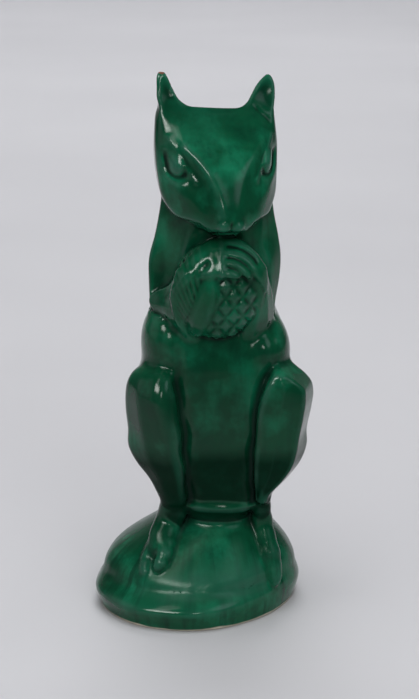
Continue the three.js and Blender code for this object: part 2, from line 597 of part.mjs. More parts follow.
function haunchSolid(side, grow = 0) {
  const outlines = side === RIGHT ? RIGHT_HAUNCH : LEFT_HAUNCH;
  const rounding = side === RIGHT ? RIGHT_HAUNCH_ROUNDING : LEFT_HAUNCH_ROUNDING;
  const size = new THREE.Vector3(HAUNCH_REACH, HAUNCH_AHEAD, HAUNCH_HEIGHT);
  return solid(outlined(outlines, side, ankleHeight + HAUNCH_RISE, size, rounding, { grow }));
}

function haunch(side) {
  return haunchSolid(side).subtract(torsoSolid(LUTE_GAP)).subtract(moundSolid({ grow: LUTE_GAP }));
}

function foot(side, toeSpread, toeFromFront) {
  const toeAhead = moundFront - toeFromFront;
  const middle = [(side * (ANKLE_SPREAD + toeSpread)) / 2, -(ANKLE_AHEAD + toeAhead) / 2];
  const toe = [side * toeSpread, -toeAhead];
  return solid(loft([
    section(side * ANKLE_SPREAD, -ANKLE_AHEAD, ankleHeight, ANKLE_WIDTH, ANKLE_DEPTH),
    section(...middle, moundTop(...middle), FOOT_WIDTH, 2 * FOOT_THICKNESS),
    section(...toe, moundTop(...toe), TOE_WIDTH, 2 * TOE_THICKNESS),
  ], SMALL_SIDES, { level: false }))
    .subtract(moundSolid({ grow: LUTE_GAP }))
    .subtract(torsoSolid(LUTE_GAP))
    .subtract(haunchSolid(side, LUTE_GAP));
}

// The nut, flat on top under the paws
function nutSolid(grow = 0) {
  const centre = new THREE.Vector3(NUT_LEFT, -nutAhead, nutHeight);
  const spare = 2 * grow;
  const top = nutHeight + PAWS_EDGE_RISE - LUTE_GAP + grow;
  const above = new THREE.BoxGeometry(2 * NUT_WIDTH, 2 * NUT_DEPTH, NUT_HEIGHT)
    .translate(NUT_LEFT, -nutAhead, top + NUT_HEIGHT / 2);
  const whole = ellipsoid(centre, NUT_WIDTH + spare, NUT_DEPTH + spare, NUT_HEIGHT + spare, LARGE_SIDES);
  return whole.subtract(solid(above));
}

// Both paws in one
function pawsSolid() {
  const height = nutHeight + PAWS_RISE;
  const ahead = nutAhead - PAWS_BACK;
  const lean = new THREE.Matrix4().makeShear(0, 0, 0, 0, PAWS_LEAN, 0);
  const dome = new THREE.SphereGeometry(1, LARGE_SIDES, LARGE_SIDES / 2).rotateX(Math.PI / 2)
    .scale(PAWS_WIDTH / 2, PAWS_DEPTH / 2, PAWS_HEIGHT / 2)
    .applyMatrix4(lean)
    .translate(PAWS_LEFT, -ahead, height);
  const edge = nutHeight + PAWS_EDGE_RISE;
  const below = new THREE.BoxGeometry(2 * PAWS_WIDTH, 2 * PAWS_DEPTH, PAWS_HEIGHT)
    .translate(PAWS_LEFT, -ahead, edge - PAWS_HEIGHT / 2);
  return solid(dome).subtract(solid(below));
}

function nut() {
  return nutSolid().subtract(torsoSolid(LUTE_GAP)).subtract(headSolid(LUTE_GAP));
}

function arm(side, upperOutlines, forearmOutlines) {
  const size = new THREE.Vector3(ARM_REACH, ARM_AHEAD, ARM_LENGTH);
  const elbow = shoulderHeight - ARM_DROP;
  const upper = solid(outlined(upperOutlines, side, elbow, size, UPPER_ARM_ROUNDING));
  const forearm = solid(outlined(forearmOutlines, side, elbow, size, FOREARM_ROUNDING));
  const half = new THREE.BoxGeometry(PAWS_WIDTH, 2 * PAWS_DEPTH, 2 * PAWS_HEIGHT)
    .translate(PAWS_PARTING + (side * (PAWS_WIDTH + LUTE_GAP)) / 2, -nutAhead, nutHeight);
  const paw = pawsSolid().intersect(solid(half));
  return upper.add(forearm).add(paw)
    .subtract(nutSolid(LUTE_GAP))
    .subtract(torsoSolid(LUTE_GAP))
    .subtract(headSolid(LUTE_GAP))
    .subtract(haunchSolid(side, LUTE_GAP));
}

function tailSolid(grow = 0) {
  const behind = (back, depth) => back + (depth + TAIL_DEPTH) / 2 - TAIL_BITE;
  const top = behind(0, SHOULDER_DEPTH);
  return solid(loft([
    section(0, behind(SEAT_BACK, SEAT_DEPTH), SEAT_HEIGHT - TAIL_BITE, TAIL_ROOT_WIDTH, TAIL_ROOT_DEPTH),
    section(TAIL_LEFT / 2, behind(HIP_BACK, HIP_DEPTH), hipHeight, TAIL_LOW_WIDTH, TAIL_DEPTH),
    section(TAIL_LEFT, behind(WAIST_BACK, WAIST_DEPTH), waistHeight, TAIL_WIDTH, TAIL_DEPTH),
    section(TAIL_LEFT, behind(0, CHEST_DEPTH), chestHeight, TAIL_WIDTH, TAIL_DEPTH),
    section(TAIL_LEFT, top, (shoulderHeight + neckHeight) / 2, TAIL_TOP_WIDTH, TAIL_TOP_DEPTH),
    section(TAIL_LEFT, top + TAIL_CURL, neckHeight + TAIL_TIP_RISE, TAIL_TIP_WIDTH, TAIL_TIP_DEPTH),
    section(TAIL_LEFT, top + TAIL_CURL + TAIL_TIP_DEPTH / 2, neckHeight + TAIL_TIP_RISE + TAIL_END_RISE,
      TAIL_END_WIDTH, TAIL_END_DEPTH),
  ], LARGE_SIDES, { level: false, grow }));
}

function tail() {
  return tailSolid()
    .subtract(tailSolid(-WALL))
    .subtract(torsoSolid(LUTE_GAP))
    .subtract(moundSolid({ grow: LUTE_GAP }))
    .subtract(headSolid(LUTE_GAP))
    .subtract(haunchSolid(RIGHT, LUTE_GAP))
    .subtract(haunchSolid(LEFT, LUTE_GAP));
}

const glaze = new THREE.MeshStandardMaterial({ color: 0x0d5a38, roughness: 0.12, metalness: 0 });
const cork = new THREE.MeshStandardMaterial({ color: 0xb08658, roughness: 0.85, metalness: 0 });

function piece(name, made, material = glaze) {
  const mesh = new THREE.Mesh(geometryOf(made), material);
  mesh.name = name;
  return mesh;
}

const moneyBox = new THREE.Group();
moneyBox.position.copy(figurePlace);
moneyBox.add(
  piece('mound', mound()),
  piece('torso', torso()),
  piece('head', head()),
  piece('right_ear', ear(RIGHT, RIGHT_EAR_RISE)),
  piece('left_ear', ear(LEFT, LEFT_EAR_RISE)),
  piece('right_arm', arm(RIGHT, RIGHT_UPPER_ARM, RIGHT_FOREARM)),
  piece('left_arm', arm(LEFT, LEFT_UPPER_ARM, LEFT_FOREARM)),
  piece('nut', nut()),
  piece('right_haunch', haunch(RIGHT)),
  piece('left_haunch', haunch(LEFT)),
  piece('right_foot', foot(RIGHT, RIGHT_TOE_SPREAD, RIGHT_TOE_FROM_FRONT)),
  piece('left_foot', foot(LEFT, LEFT_TOE_SPREAD, LEFT_TOE_FROM_FRONT)),
  piece('tail', tail()),
  piece('cork', corkSolid(), cork),
);

export default moneyBox;
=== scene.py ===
"""A green-glazed pottery money box: a squirrel on a mound, in clay pieces under one glaze, with a cork."""
import copy
import math
import bpy
import numpy as np
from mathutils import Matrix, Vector


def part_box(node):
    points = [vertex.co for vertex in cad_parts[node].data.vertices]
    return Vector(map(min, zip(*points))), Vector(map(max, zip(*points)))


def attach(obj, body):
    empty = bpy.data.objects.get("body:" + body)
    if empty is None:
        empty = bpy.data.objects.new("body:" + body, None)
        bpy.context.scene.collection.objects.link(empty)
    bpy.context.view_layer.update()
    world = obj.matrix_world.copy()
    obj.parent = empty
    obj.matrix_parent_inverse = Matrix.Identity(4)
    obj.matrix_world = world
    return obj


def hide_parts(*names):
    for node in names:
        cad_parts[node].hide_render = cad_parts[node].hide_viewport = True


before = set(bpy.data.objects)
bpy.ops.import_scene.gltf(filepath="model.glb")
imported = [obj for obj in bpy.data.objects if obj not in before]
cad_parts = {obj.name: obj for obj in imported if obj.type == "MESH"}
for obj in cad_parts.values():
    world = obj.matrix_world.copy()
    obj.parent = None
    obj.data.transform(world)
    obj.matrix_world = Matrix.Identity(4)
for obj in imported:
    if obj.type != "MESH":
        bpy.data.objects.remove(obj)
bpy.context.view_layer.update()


def placed(name, data):
    made = bpy.data.objects.new(name, data)
    bpy.context.scene.collection.objects.link(made)
    return made


def aimed(thing, place, direction):
    """Puts a camera or lamp at a place and turns it to look along a direction."""
    thing.location = place
    thing.rotation_mode = "QUATERNION"
    thing.rotation_quaternion = direction.to_track_quat("-Z", "Y")


# Camera: the photograph's angle. The picture is 419 by 699, and the sensor's 36 mm lie along its height.
PICTURE_HEIGHT = 699
VIEW_AZIMUTH, VIEW_ELEVATION = math.radians(-2), math.radians(14)
VIEW_DISTANCE = 0.9
VIEW_AIM = Vector((0.00265, 0.0041, 0.0982))
FOCAL_PIXELS = 2322
SENSOR = 36
CLIP_NEAR, CLIP_FAR = 0.01, 50
camera = placed("camera", bpy.data.cameras.new("camera"))
camera.data.sensor_width = SENSOR
camera.data.lens = SENSOR * FOCAL_PIXELS / PICTURE_HEIGHT
back = Vector((
    math.sin(VIEW_AZIMUTH) * math.cos(VIEW_ELEVATION),
    -math.cos(VIEW_AZIMUTH) * math.cos(VIEW_ELEVATION),
    math.sin(VIEW_ELEVATION),
))
aimed(camera, VIEW_AIM + back * VIEW_DISTANCE, -back)
camera.data.clip_start, camera.data.clip_end = CLIP_NEAR, CLIP_FAR
bpy.context.scene.camera = camera

# The clay is shaped as one field of distances in the figure's own frame, in millimetres: x to the squirrel's
# left, f ahead of its axis, z up. The same field gives every piece its share of the skin.
MM = 0.001
FIGURE_X, FIGURE_Y = 4.9, -4.9
COARSE_STEP, FINE_STEP = 1, 0.6
STEP = FINE_STEP
LOW = np.array([-49, -53, -3])
HIGH = np.array([40, 44, 211])
FAR = 20
COUNT = np.ceil((HIGH - LOW) / STEP).astype(int) + 1
XS, FS, ZS = (LOW[i] + STEP * np.arange(COUNT[i]) for i in range(3))
field = np.full(COUNT, FAR, np.float32)
nearest = np.full(COUNT, FAR, np.float32)
owner = np.zeros(COUNT, np.int8)
PIECES = [
    "mound", "torso", "head", "right_ear", "left_ear", "right_arm", "left_arm", "nut",
    "right_haunch", "left_haunch", "right_foot", "left_foot", "tail",
]
NUMBERS = {name: number for number, name in enumerate(PIECES, 1)}
WALL = 4
LEAST_SLOPE, LEAST_MITRE, LEAST_LENGTH = 0.3, 0.4, 1e-6


class Room:
    """A part of the grid, with its coordinates spread along the three axes."""

    def __init__(self, low, high):
        cut = []
        for axis, values in enumerate((XS, FS, ZS)):
            first = int(np.clip(np.searchsorted(values, low[axis]), 0, len(values) - 3))
            last = int(np.clip(np.searchsorted(values, high[axis]), first + 3, len(values)))
            cut.append(slice(first, last))
        self.cut = tuple(cut)
        self.x = XS[cut[0]][:, None, None].astype(np.float32)
        self.f = FS[cut[1]][None, :, None].astype(np.float32)
        self.z = ZS[cut[2]][None, None, :].astype(np.float32)

    def turned(self, angle):
        """x and f in a frame that is turned to the squirrel's left."""
        c, s = math.cos(angle), math.sin(angle)
        return self.x * c - self.f * s, self.f * c + self.x * s

    def measured(self, x, f=None):
        """The same part of the grid, measured along another x and f."""
        made = copy.copy(self)
        made.x = x
        made.f = self.f if f is None else f
        return made


def blended(a, b, radius):
    """The nearer of two distances, with a fillet of about that radius."""
    if radius <= 0:
        return np.minimum(a, b)
    h = np.maximum(radius - np.abs(a - b), 0) / radius
    return np.minimum(a, b) - h * h * radius / 4


def cut_by(a, b, radius):
    """The farther of two distances, with a rounded edge."""
    return -blended(-a, -b, radius)


def even(d):
    """A distance-like field scaled to grow by one per millimetre near its surface."""
    slopes = np.gradient(d, STEP)
    size = np.sqrt(sum(s * s for s in slopes))
    return (d / np.maximum(size, LEAST_SLOPE)).astype(np.float32)


def add(name, room, d, fillet):
    """Joins a piece to the clay with a fillet. Each point of the grid belongs to the nearest piece."""
    field[room.cut] = blended(field[room.cut], d, fillet)
    closer = d < nearest[room.cut]
    owner[room.cut][closer] = NUMBERS[name]
    nearest[room.cut] = np.minimum(nearest[room.cut], d)


def carve(room, depth):
    """Lowers the surface by a depth, or raises it where the depth is negative."""
    field[room.cut] += depth.astype(np.float32)


def along(heights, rows, z):
    """Smooth values between the rows given at some heights."""
    h, v = np.asarray(heights, float), np.asarray(rows, float)
    v = v.reshape(len(h), -1)
    slope = np.gradient(v, h, axis=0)
    i = np.clip(np.searchsorted(h, z) - 1, 0, len(h) - 2)
    wide = (h[i + 1] - h[i])[:, None]
    t = np.clip((z[:, None] - h[i][:, None]) / wide, 0, 1)
    a, b, c, d = 2 * t**3 - 3 * t**2 + 1, t**3 - 2 * t**2 + t, 3 * t**2 - 2 * t**3, t**3 - t**2
    return (a * v[i] + b * wide * slope[i] + c * v[i + 1] + d * wide * slope[i + 1]).astype(np.float32)


def ellipsoid(room, centre, radii):
    u, v, w = (room.x - centre[0]), (room.f - centre[1]), (room.z - centre[2])
    k0 = np.sqrt((u / radii[0]) ** 2 + (v / radii[1]) ** 2 + (w / radii[2]) ** 2)
    k1 = np.sqrt((u / radii[0] ** 2) ** 2 + (v / radii[1] ** 2) ** 2 + (w / radii[2] ** 2) ** 2)
    return k0 * (k0 - 1) / np.maximum(k1, 1e-4)


def limb(room, points, fillet):
    """A rounded limb through points (x, f, z, radius)."""
    made = None
    for a, b in zip(points, points[1:]):
        e = [b[i] - a[i] for i in range(3)]
        w = (room.x - a[0], room.f - a[1], room.z - a[2])
        t = np.clip(sum(w[i] * e[i] for i in range(3)) / sum(v * v for v in e), 0, 1)
        d = np.sqrt(sum((w[i] - t * e[i]) ** 2 for i in range(3))) - (a[3] + t * (b[3] - a[3]))
        made = d if made is None else blended(made, d, fillet)
    return made


def ovals(room, heights, rows):
    """A loft of level ovals. Each row has the centre's x and f, the two half widths, and the squareness."""
    cx, cf, rx, rf, p = (v[None, None, :] for v in along(heights, rows, room.z.ravel()).T)
    r = (np.abs((room.x - cx) / rx) ** p + np.abs((room.f - cf) / rf) ** p) ** (1 / p)
    return even((r - 1) * np.minimum(rx, rf))


def outlines(room, heights, rows, rounding):
    """A loft of level outlines, each a list of corners (x, f), with rounded edges."""
    x, f = room.x, room.f
    flat = [[v for corner in row for v in corner] for row in rows]
    corners = along(heights, flat, room.z.ravel()).reshape(room.z.size, -1, 2)
    following = np.roll(corners, -1, 1)
    turn = np.sign((corners * following[..., ::-1] * [1, -1]).sum((1, 2)).mean())
    edge = following - corners
    out = turn * np.stack([edge[..., 1], -edge[..., 0]], -1)
    out /= np.maximum(np.linalg.norm(out, axis=-1, keepdims=True), LEAST_LENGTH)
    before = np.roll(out, 1, 1)
    mitre = 1 + (out * before).sum(-1, keepdims=True)
    if np.ndim(rounding):
        rounding = along(heights, rounding, room.z.ravel()).ravel()
    rounding = np.float32(rounding)
    corners = corners - np.reshape(rounding, (-1, 1, 1)) * (out + before) / np.maximum(mitre, LEAST_MITRE)
    inside = np.ones(np.broadcast_shapes(x.shape, f.shape, room.z.shape), np.float32)
    nearest_edge = np.full(inside.shape, np.inf, np.float32)
    count = corners.shape[1]
    for i in range(count):
        ax, af = corners[:, i, 0], corners[:, i, 1]
        bx, bf = corners[:, (i + 1) % count, 0], corners[:, (i + 1) % count, 1]
        ex, ef = bx - ax, bf - af
        wx, wf = x - ax, f - af
        t = np.clip((wx * ex + wf * ef) / np.maximum(ex * ex + ef * ef, LEAST_LENGTH), 0, 1)
        nearest_edge = np.minimum(nearest_edge, (wx - t * ex) ** 2 + (wf - t * ef) ** 2)
        above, below, left = f >= af, f < bf, ex * wf > ef * wx
        crossed = (above & below & left) | (~above & ~below & ~left)
        inside = np.where(crossed, -inside, inside)
    return even(np.sqrt(nearest_edge) * inside - rounding)


def level_ends(room, d, low, low_round, high, high_round):
    """A shape cut off level at its foot and at its top, with rounded edges."""
    return cut_by(cut_by(d, low - room.z, low_round), room.z - high, high_round)


def from_line(u, v, points):
    """Distance in a plane from a line through points."""
    made = None
    for (ua, va), (ub, vb) in zip(points, points[1:]):
        eu, ev = ub - ua, vb - va
        t = np.clip(((u - ua) * eu + (v - va) * ev) / (eu * eu + ev * ev), 0, 1)
        d = (u - ua - t * eu) ** 2 + (v - va - t * ev) ** 2
        made = d if made is None else np.minimum(made, d)
    return np.sqrt(made)


def bump(d, width):
    """One at no distance, falling off smoothly over about the width."""
    return np.exp(-((d / width) ** 2))


def ease(value, low, high):
    """A smooth step from zero at low to one at high."""
    t = np.clip((value - low) / (high - low), 0, 1)
    return t * t * (3 - 2 * t)


def blur(values, reach):
    """A box blur along the three axes."""
    n = max(1, int(round(reach / STEP)))
    for axis in range(3):
        pad = [(n + 1, n) if a == axis else (0, 0) for a in range(3)]
        total = np.cumsum(np.pad(values, pad, mode="edge"), axis, dtype=np.float32)
        size = values.shape[axis]
        ahead = np.take(total, np.arange(2 * n + 1, 2 * n + 1 + size), axis)
        values = (ahead - np.take(total, np.arange(size), axis)) / (2 * n + 1)
    return values


# The mound: a tucked edge and a dome that carries the seat. Its axis lies to the right of the figure's.
MOUND_X, MOUND_F = -6.9, -4.9
MOUND_SKEW = 0.12
EDGE, SEAT = 7, 38
SEAT_HALF_X, SEAT_HALF_F, SEAT_BACK = 15, 18, 2
DOME_HALF_X, DOME_HALF_F, TUCK = 23.4, 26, 1.3
MOUND_HEIGHTS = [0, 2, 4.5, 7, 10, 14, 19, 24, 29, 33, 36, 38]
FLAT_DEEP, LIP_HIGH, SIDE_FULL = 2.4, 1.9, 2.6
STROKE_DEEP = 0.12
# Tool strokes up the dome: the angle, its width and the depth
STROKES = [
    (-1.3, 0.05, 0.5), (-1.12, 0.05, 0.6), (-0.93, 0.05, 0.5), (-0.5, 0.04, 0.3), (-0.14, 0.035, 0.4),
    (0.02, 0.035, 0.5), (0.3, 0.04, 0.4), (0.85, 0.05, 0.5), (1.05, 0.05, 0.6), (1.35, 0.055, 0.5),
    (1.75, 0.06, 0.5), (2.2, 0.06, 0.5), (2.7, 0.06, 0.5), (3.05, 0.06, 0.5), (-1.7, 0.06, 0.5),
    (-2.1, 0.06, 0.5), (-2.6, 0.06, 0.5),
]


def mound_rows():
    rows = []
    for z in MOUND_HEIGHTS:
        rise = max(0, (z - EDGE) / (SEAT - EDGE))
        tuck = max(0, 1 - z / EDGE)
        swell = math.cos(min(rise, 1) * math.pi / 2)
        drawn = TUCK * tuck * tuck
        rows.append([
            MOUND_X * (1 - rise), MOUND_F * (1 - rise) - SEAT_BACK * rise,
            SEAT_HALF_X + DOME_HALF_X * swell - drawn, SEAT_HALF_F + DOME_HALF_F * swell - drawn, 2,
        ])
    return rows


mound_room = room = Room((-49, -53, -3), (36, 44, 50))
rise = np.clip((room.z - EDGE) / (SEAT - EDGE), 0, 1)
middle_x, middle_f = MOUND_X * (1 - rise), MOUND_F * (1 - rise) - SEAT_BACK * rise
across = room.x + MOUND_SKEW * (1 - rise) * (room.f - middle_f)
mound = ovals(room.measured(across), MOUND_HEIGHTS, mound_rows())
mound_inner = mound + WALL
angle = np.arctan2(across - middle_x, room.f - middle_f)
front = ease(np.cos(angle), 0.1, 0.8)
uneven = 0.8 + 0.2 * np.cos(3 * angle + 0.6) - 0.4 * ease(np.sin(angle), 0.3, 0.9)
lip = LIP_HIGH * bump(room.z - 7.4, 3.2) * uneven
groove = FLAT_DEEP * front * bump(room.z - 18, 11) + (0.4 + 0.7 * front) * bump(room.z - 13.4, 2.8)
full_side = SIDE_FULL * bump(room.z - 20, 9) * ease(-np.sin(angle), 0.1, 0.9)
mound = mound - lip + groove - full_side
waves = 0.3 * np.sin(5 * angle + 1) * bump(room.z - 6, 9)
mound = mound - waves - 0.2 * np.sin(9 * angle) * bump(room.z - 4, 6)
strokes = 0
for at, wide, deep in STROKES:
    strokes = strokes + deep * bump(np.angle(np.exp(1j * (angle - at))), wide)
mound = mound + STROKE_DEEP * strokes * ease(room.z, 9, 14) * (1 - ease(room.z, 22, 32))
mound = cut_by(mound, -room.z, 0.8)
mound = cut_by(mound, room.z - SEAT, 3)
add("mound", room, mound, 0)

# The torso, with a flat belly that rolls under above the seat, and full flanks
TORSO_TOP = 166
FOLD_LEVEL, FOLD_LEAN, FOLD_HIGH, FOLD_WIDE = 42.6, 0.05, 1, 2
FLANKS = ((-17.3, 7.5, 107), (11.2, 15.5, 15.5)), ((17, 8, 103.2), (10.6, 15, 12.8))
torso_room = room = Room((-36, -34, 30), (36, 34, 172))
torso = ovals(room, [30, 38, 42, 46, 52, 62, 75, 88, 100, 110, 119, 127, 142, 156, 166], [
    [0, -2, 13, 18.5, 2.2], [0, -2, 15.5, 21, 2.2], [0, -1.5, 18, 21.6, 2.3], [0, -1, 20, 21.4, 2.5],
    [0, -1, 22, 22.6, 2.8], [0, -1, 24, 25, 3], [0, -1, 26, 26.2, 3], [0, -1, 28, 26.4, 2.9],
    [-0.5, -1, 28.2, 25.6, 2.7], [-1, -0.5, 26.6, 23.4, 2.5], [-1, 0, 23, 20, 2.4], [-0.5, 0, 20.5, 18, 2.3],
    [0, 0, 19.5, 16.5, 2.2], [0, 3, 17.5, 15.5, 2.2], [0, 5, 16.5, 15, 2.2],
])
torso_inner = torso + WALL
for centre, radii in FLANKS:
    torso = blended(torso, ellipsoid(room, centre, radii), 2.5)
fold = room.z - FOLD_LEVEL + FOLD_LEAN * room.x
torso = torso - FOLD_HIGH * bump(fold, FOLD_WIDE) * ease(room.f, 8, 16)
torso = cut_by(torso, room.z - TORSO_TOP, 1)
add("torso", room, torso, 2.2)

# The haunches: folded legs, each with a ridge where its front and outer faces meet
HAUNCH_HEIGHTS = [44, 48, 54, 60, 66, 72, 81, 87, 91, 94.5, 97.5, 100]
RIGHT_HAUNCH = [
    [(-12.2, 18.5), (-15, 20.5), (-19, 20.6), (-21.5, 17), (-20, 6), (-13, 6)],
    [(-11.8, 20.5), (-15, 22.6), (-19.8, 21.6), (-23.4, 16.5), (-21, 3), (-12, 3)],
    [(-11.6, 22.8), (-14.8, 25.4), (-21.6, 22.2), (-26.8, 15), (-22, 0), (-11, 0)],
    [(-12, 24.8), (-15.4, 28.4), (-24.6, 22.8), (-31.7, 13.5), (-24, -6), (-10, -6)],
    [(-12.7, 25.5), (-16.4, 30.5), (-27, 22.9), (-34.8, 12), (-26, -10), (-10, -9)],
    [(-13.1, 26), (-17.8, 31.5), (-28.2, 23.4), (-34.6, 12), (-27, -12), (-10, -10)],
    [(-14, 26), (-20.4, 32), (-29.8, 23.6), (-35.4, 12), (-28, -13), (-10, -11)],
    [(-14.9, 26), (-22.4, 31.6), (-30.4, 23.4), (-35.4, 12), (-28, -12), (-10, -10)],
    [(-16, 26.3), (-22.6, 30.2), (-30.2, 22.6), (-34.8, 12.5), (-27.6, -10), (-10.6, -8.4)],
    [(-17, 25.8), (-22.2, 28), (-29, 21.4), (-33.2, 13), (-26.6, -7), (-11.4, -6)],
    [(-18, 24), (-21.8, 24.8), (-27.2, 19.6), (-30.6, 13.4), (-25.4, -3.4), (-13, -3)],
    [(-18.6, 20), (-21.6, 20.4), (-24.8, 17), (-27.4, 12.5), (-24, 1), (-14, 1)],
]
LEFT_HAUNCH = [
    [(13.6, 18.6), (15.6, 19.6), (17.5, 19.8), (20.2, 17.5), (19, 6), (13, 6)],
    [(13.4, 20.6), (16.2, 21.7), (19, 21.8), (21, 17), (20, 3), (12, 3)],
    [(13.2, 23.4), (18.2, 24.4), (23.6, 23.8), (26.7, 16.5), (21, 0), (11, 0)],
    [(13, 25.6), (19.8, 26.6), (27.2, 25.6), (31.9, 14), (24, -6), (10, -6)],
    [(12.9, 27), (20.6, 28), (29, 26.6), (34.4, 12), (26, -10), (10, -9)],
    [(13.1, 27.5), (21.4, 28.5), (30, 27), (34.3, 12), (27, -12), (10, -10)],
    [(13.9, 28), (22.8, 29), (31.6, 27.3), (36, 12), (28, -13), (10, -11)],
    [(15, 28.4), (23.8, 29.2), (32.3, 27.2), (36.7, 12), (28, -12), (10, -10)],
    [(16.6, 28.5), (24.4, 29), (31.9, 26.8), (35.9, 12.2), (27.6, -10), (10.6, -8.4)],
    [(18.6, 28.2), (23.8, 28.4), (28.4, 27), (33.2, 13), (26.8, -7), (11.4, -6)],
    [(20.2, 26.6), (22.2, 26.9), (24, 26.4), (29.9, 14), (25.6, -3.4), (13, -3)],
    [(20.6, 20.5), (21.3, 21), (22, 20.8), (27.2, 12.5), (24, 1), (14, 1)],
]
RIGHT_ROUNDING = [1.6, 2, 2.6, 3.2, 3.8, 4.2, 4.6, 4.8, 4.8, 4.6, 4, 3]
LEFT_ROUNDING = [1.4, 1.6, 1.8, 2, 2.2, 2.4, 2.6, 2.6, 2.4, 2.2, 2, 1.6]
HAUNCH_FOOT, RIGHT_KNEE, LEFT_KNEE = 44, 100.8, 101
RIGHT_SOFTNESS = 1.8
room = Room((-40, -22, 38), (2, 38, 106))
haunch = blur(outlines(room, HAUNCH_HEIGHTS, RIGHT_HAUNCH, RIGHT_ROUNDING), RIGHT_SOFTNESS)
add("right_haunch", room, level_ends(room, haunch, HAUNCH_FOOT, 2, RIGHT_KNEE, 7), 2.6)
room = Room((-2, -22, 38), (40, 38, 106))
haunch = outlines(room, HAUNCH_HEIGHTS, LEFT_HAUNCH, LEFT_ROUNDING)
add("left_haunch", room, level_ends(room, haunch, HAUNCH_FOOT, 2, LEFT_KNEE, 4), 2.2)

# The feet, lying down the mound's slope, in points (x, f, z, radius)
RIGHT_FOOT = [
    (-15.8, 16, 48, 5), (-16.9, 14, 41, 4.9), (-18.6, 13, 35, 5), (-20.6, 16.2, 30.9, 5.1),
    (-22.2, 19.6, 26.9, 4.7),
]
RIGHT_TOES = [
    [(-25, 16, 26.6, 2.8), (-26.4, 19.4, 23.8, 2.6), (-27.5, 22.4, 21, 2.3), (-27.7, 24.6, 19.4, 1.9)],
    [(-19.6, 21, 28.4, 3.3), (-20.6, 23.8, 26, 3.1), (-21.9, 25.8, 22.9, 2.7), (-22.6, 26.3, 21.9, 2.3)],
]
LEFT_FOOT = [
    (16.4, 15.5, 48, 3.4), (16.9, 13.4, 42, 3), (17.2, 11.6, 35.6, 3.5), (17.9, 13, 29, 4),
    (19.7, 15.4, 23.2, 3.9), (21, 17, 17.9, 3.1), (21.7, 17.7, 14.2, 2.2), (21.8, 17.9, 13, 1.8),
]
DIMPLE, DIMPLE_DEEP, DIMPLE_WIDE = (-23.7, 22.4, 26.9), 0.8, 2.4
FOOT_SOFT, FOOT_FILLET = 3, 1.4
room = Room((-38, -2, 8), (-4, 40, 49.5))
foot = limb(room, RIGHT_FOOT, FOOT_SOFT)
for toe in RIGHT_TOES:
    foot = blended(foot, limb(room, toe, 1), 2.2)
dimple = np.sqrt((room.x - DIMPLE[0]) ** 2 + (room.f - DIMPLE[1]) ** 2 + (room.z - DIMPLE[2]) ** 2)
foot = foot + DIMPLE_DEEP * bump(dimple, DIMPLE_WIDE)
add("right_foot", room, foot, FOOT_FILLET)
room = Room((6, -4, 4), (36, 36, 49.5))
add("left_foot", room, limb(room, LEFT_FOOT, FOOT_SOFT), FOOT_FILLET)

# The nut, with a leaf up its middle, ribs on one side and crossed lines on the other
NUT_CENTRE, NUT_RADII = (-0.8, 23.4, 128.6), (16.6, 11.8, 18.4)
LATTICE_WIDE, LATTICE_TALL, LATTICE_X, LATTICE_Z = 6.2, 7.8, 5.4, 124.6
LATTICE_DEEP, LATTICE_LINE = 0.85, 1
RIB_GAP, RIB_DEEP, RIB_LINE, RIB_X, RIB_Z, RIB_REACH = 1.8, 0.7, 0.65, -3, 106, 26
LEAF_HIGH, LEAF_EDGE_DEEP, LEAF_EDGE = 0.35, 0.4, 0.7
LEAF_HEIGHTS = [110, 116, 122, 128, 134, 138]
LEAF_MIDDLE = [-9.4, -8.2, -6.6, -5, -3.8, -3.2]
LEAF_HALF = [2, 2.9, 3.5, 3.2, 2.2, 1.2]
room = Room((-22, 6, 106), (20, 40, 154))
nut = ellipsoid(room, NUT_CENTRE, NUT_RADII)
leaf_middle = along(LEAF_HEIGHTS, LEAF_MIDDLE, room.z.ravel()).T[None]
leaf_half = along(LEAF_HEIGHTS, LEAF_HALF, room.z.ravel()).T[None]
leaf_side = np.abs(room.x - leaf_middle) - leaf_half
front = ease(room.f, 20, 26)
nut = nut - LEAF_HIGH * (1 - ease(leaf_side, -1.6, 0.7)) * front
nut = nut + LEAF_EDGE_DEEP * bump(leaf_side - LEAF_EDGE, 0.8) * front
right_of_leaf = ease(room.x - leaf_middle - leaf_half, 0.8, 2)
left_of_leaf = ease(leaf_middle - leaf_half - room.x, 0.6, 1.6)
across, up = (room.x - LATTICE_X) / LATTICE_WIDE, (room.z - LATTICE_Z) / LATTICE_TALL
line_gap = LATTICE_WIDE * LATTICE_TALL / math.hypot(LATTICE_WIDE, LATTICE_TALL)
crossed = 0
for lean in (-1, 1):
    phase = across + lean * up
    crossed = np.maximum(crossed, bump(np.abs(phase - np.round(phase)) * line_gap, LATTICE_LINE))
nut = nut + LATTICE_DEEP * crossed * right_of_leaf * front
fan = np.arctan2(room.x - RIB_X, room.z - RIB_Z) * RIB_REACH / RIB_GAP
ribs = np.abs(fan - np.round(fan)) * RIB_GAP
nut = nut + RIB_DEEP * bump(ribs, RIB_LINE) * left_of_leaf * front
add("nut", room, nut, 0.7)

# The arms: broad upper arms under the jaw, forearms up beside the nut, and paws that meet over its top
ARM_HEIGHTS = [112, 117, 122, 130, 138, 146, 154, 166]
PAW_CENTRE, PAW_RADII, PAW_LEAN = (0.9, 23, 130.6), (17.6, 13.6, 18.3), 0.11
PAW_EDGE_X = [-19, -16, -11.2, -5.4, 0, 4, 10, 13.5, 15.6, 18.5]
PAW_EDGE_Z = [126, 130, 134.8, 136.4, 136.6, 135.8, 135.2, 134.8, 132.4, 127]
PAW_BACK = 15
SHOULDER, ELBOW = 166, 109.5


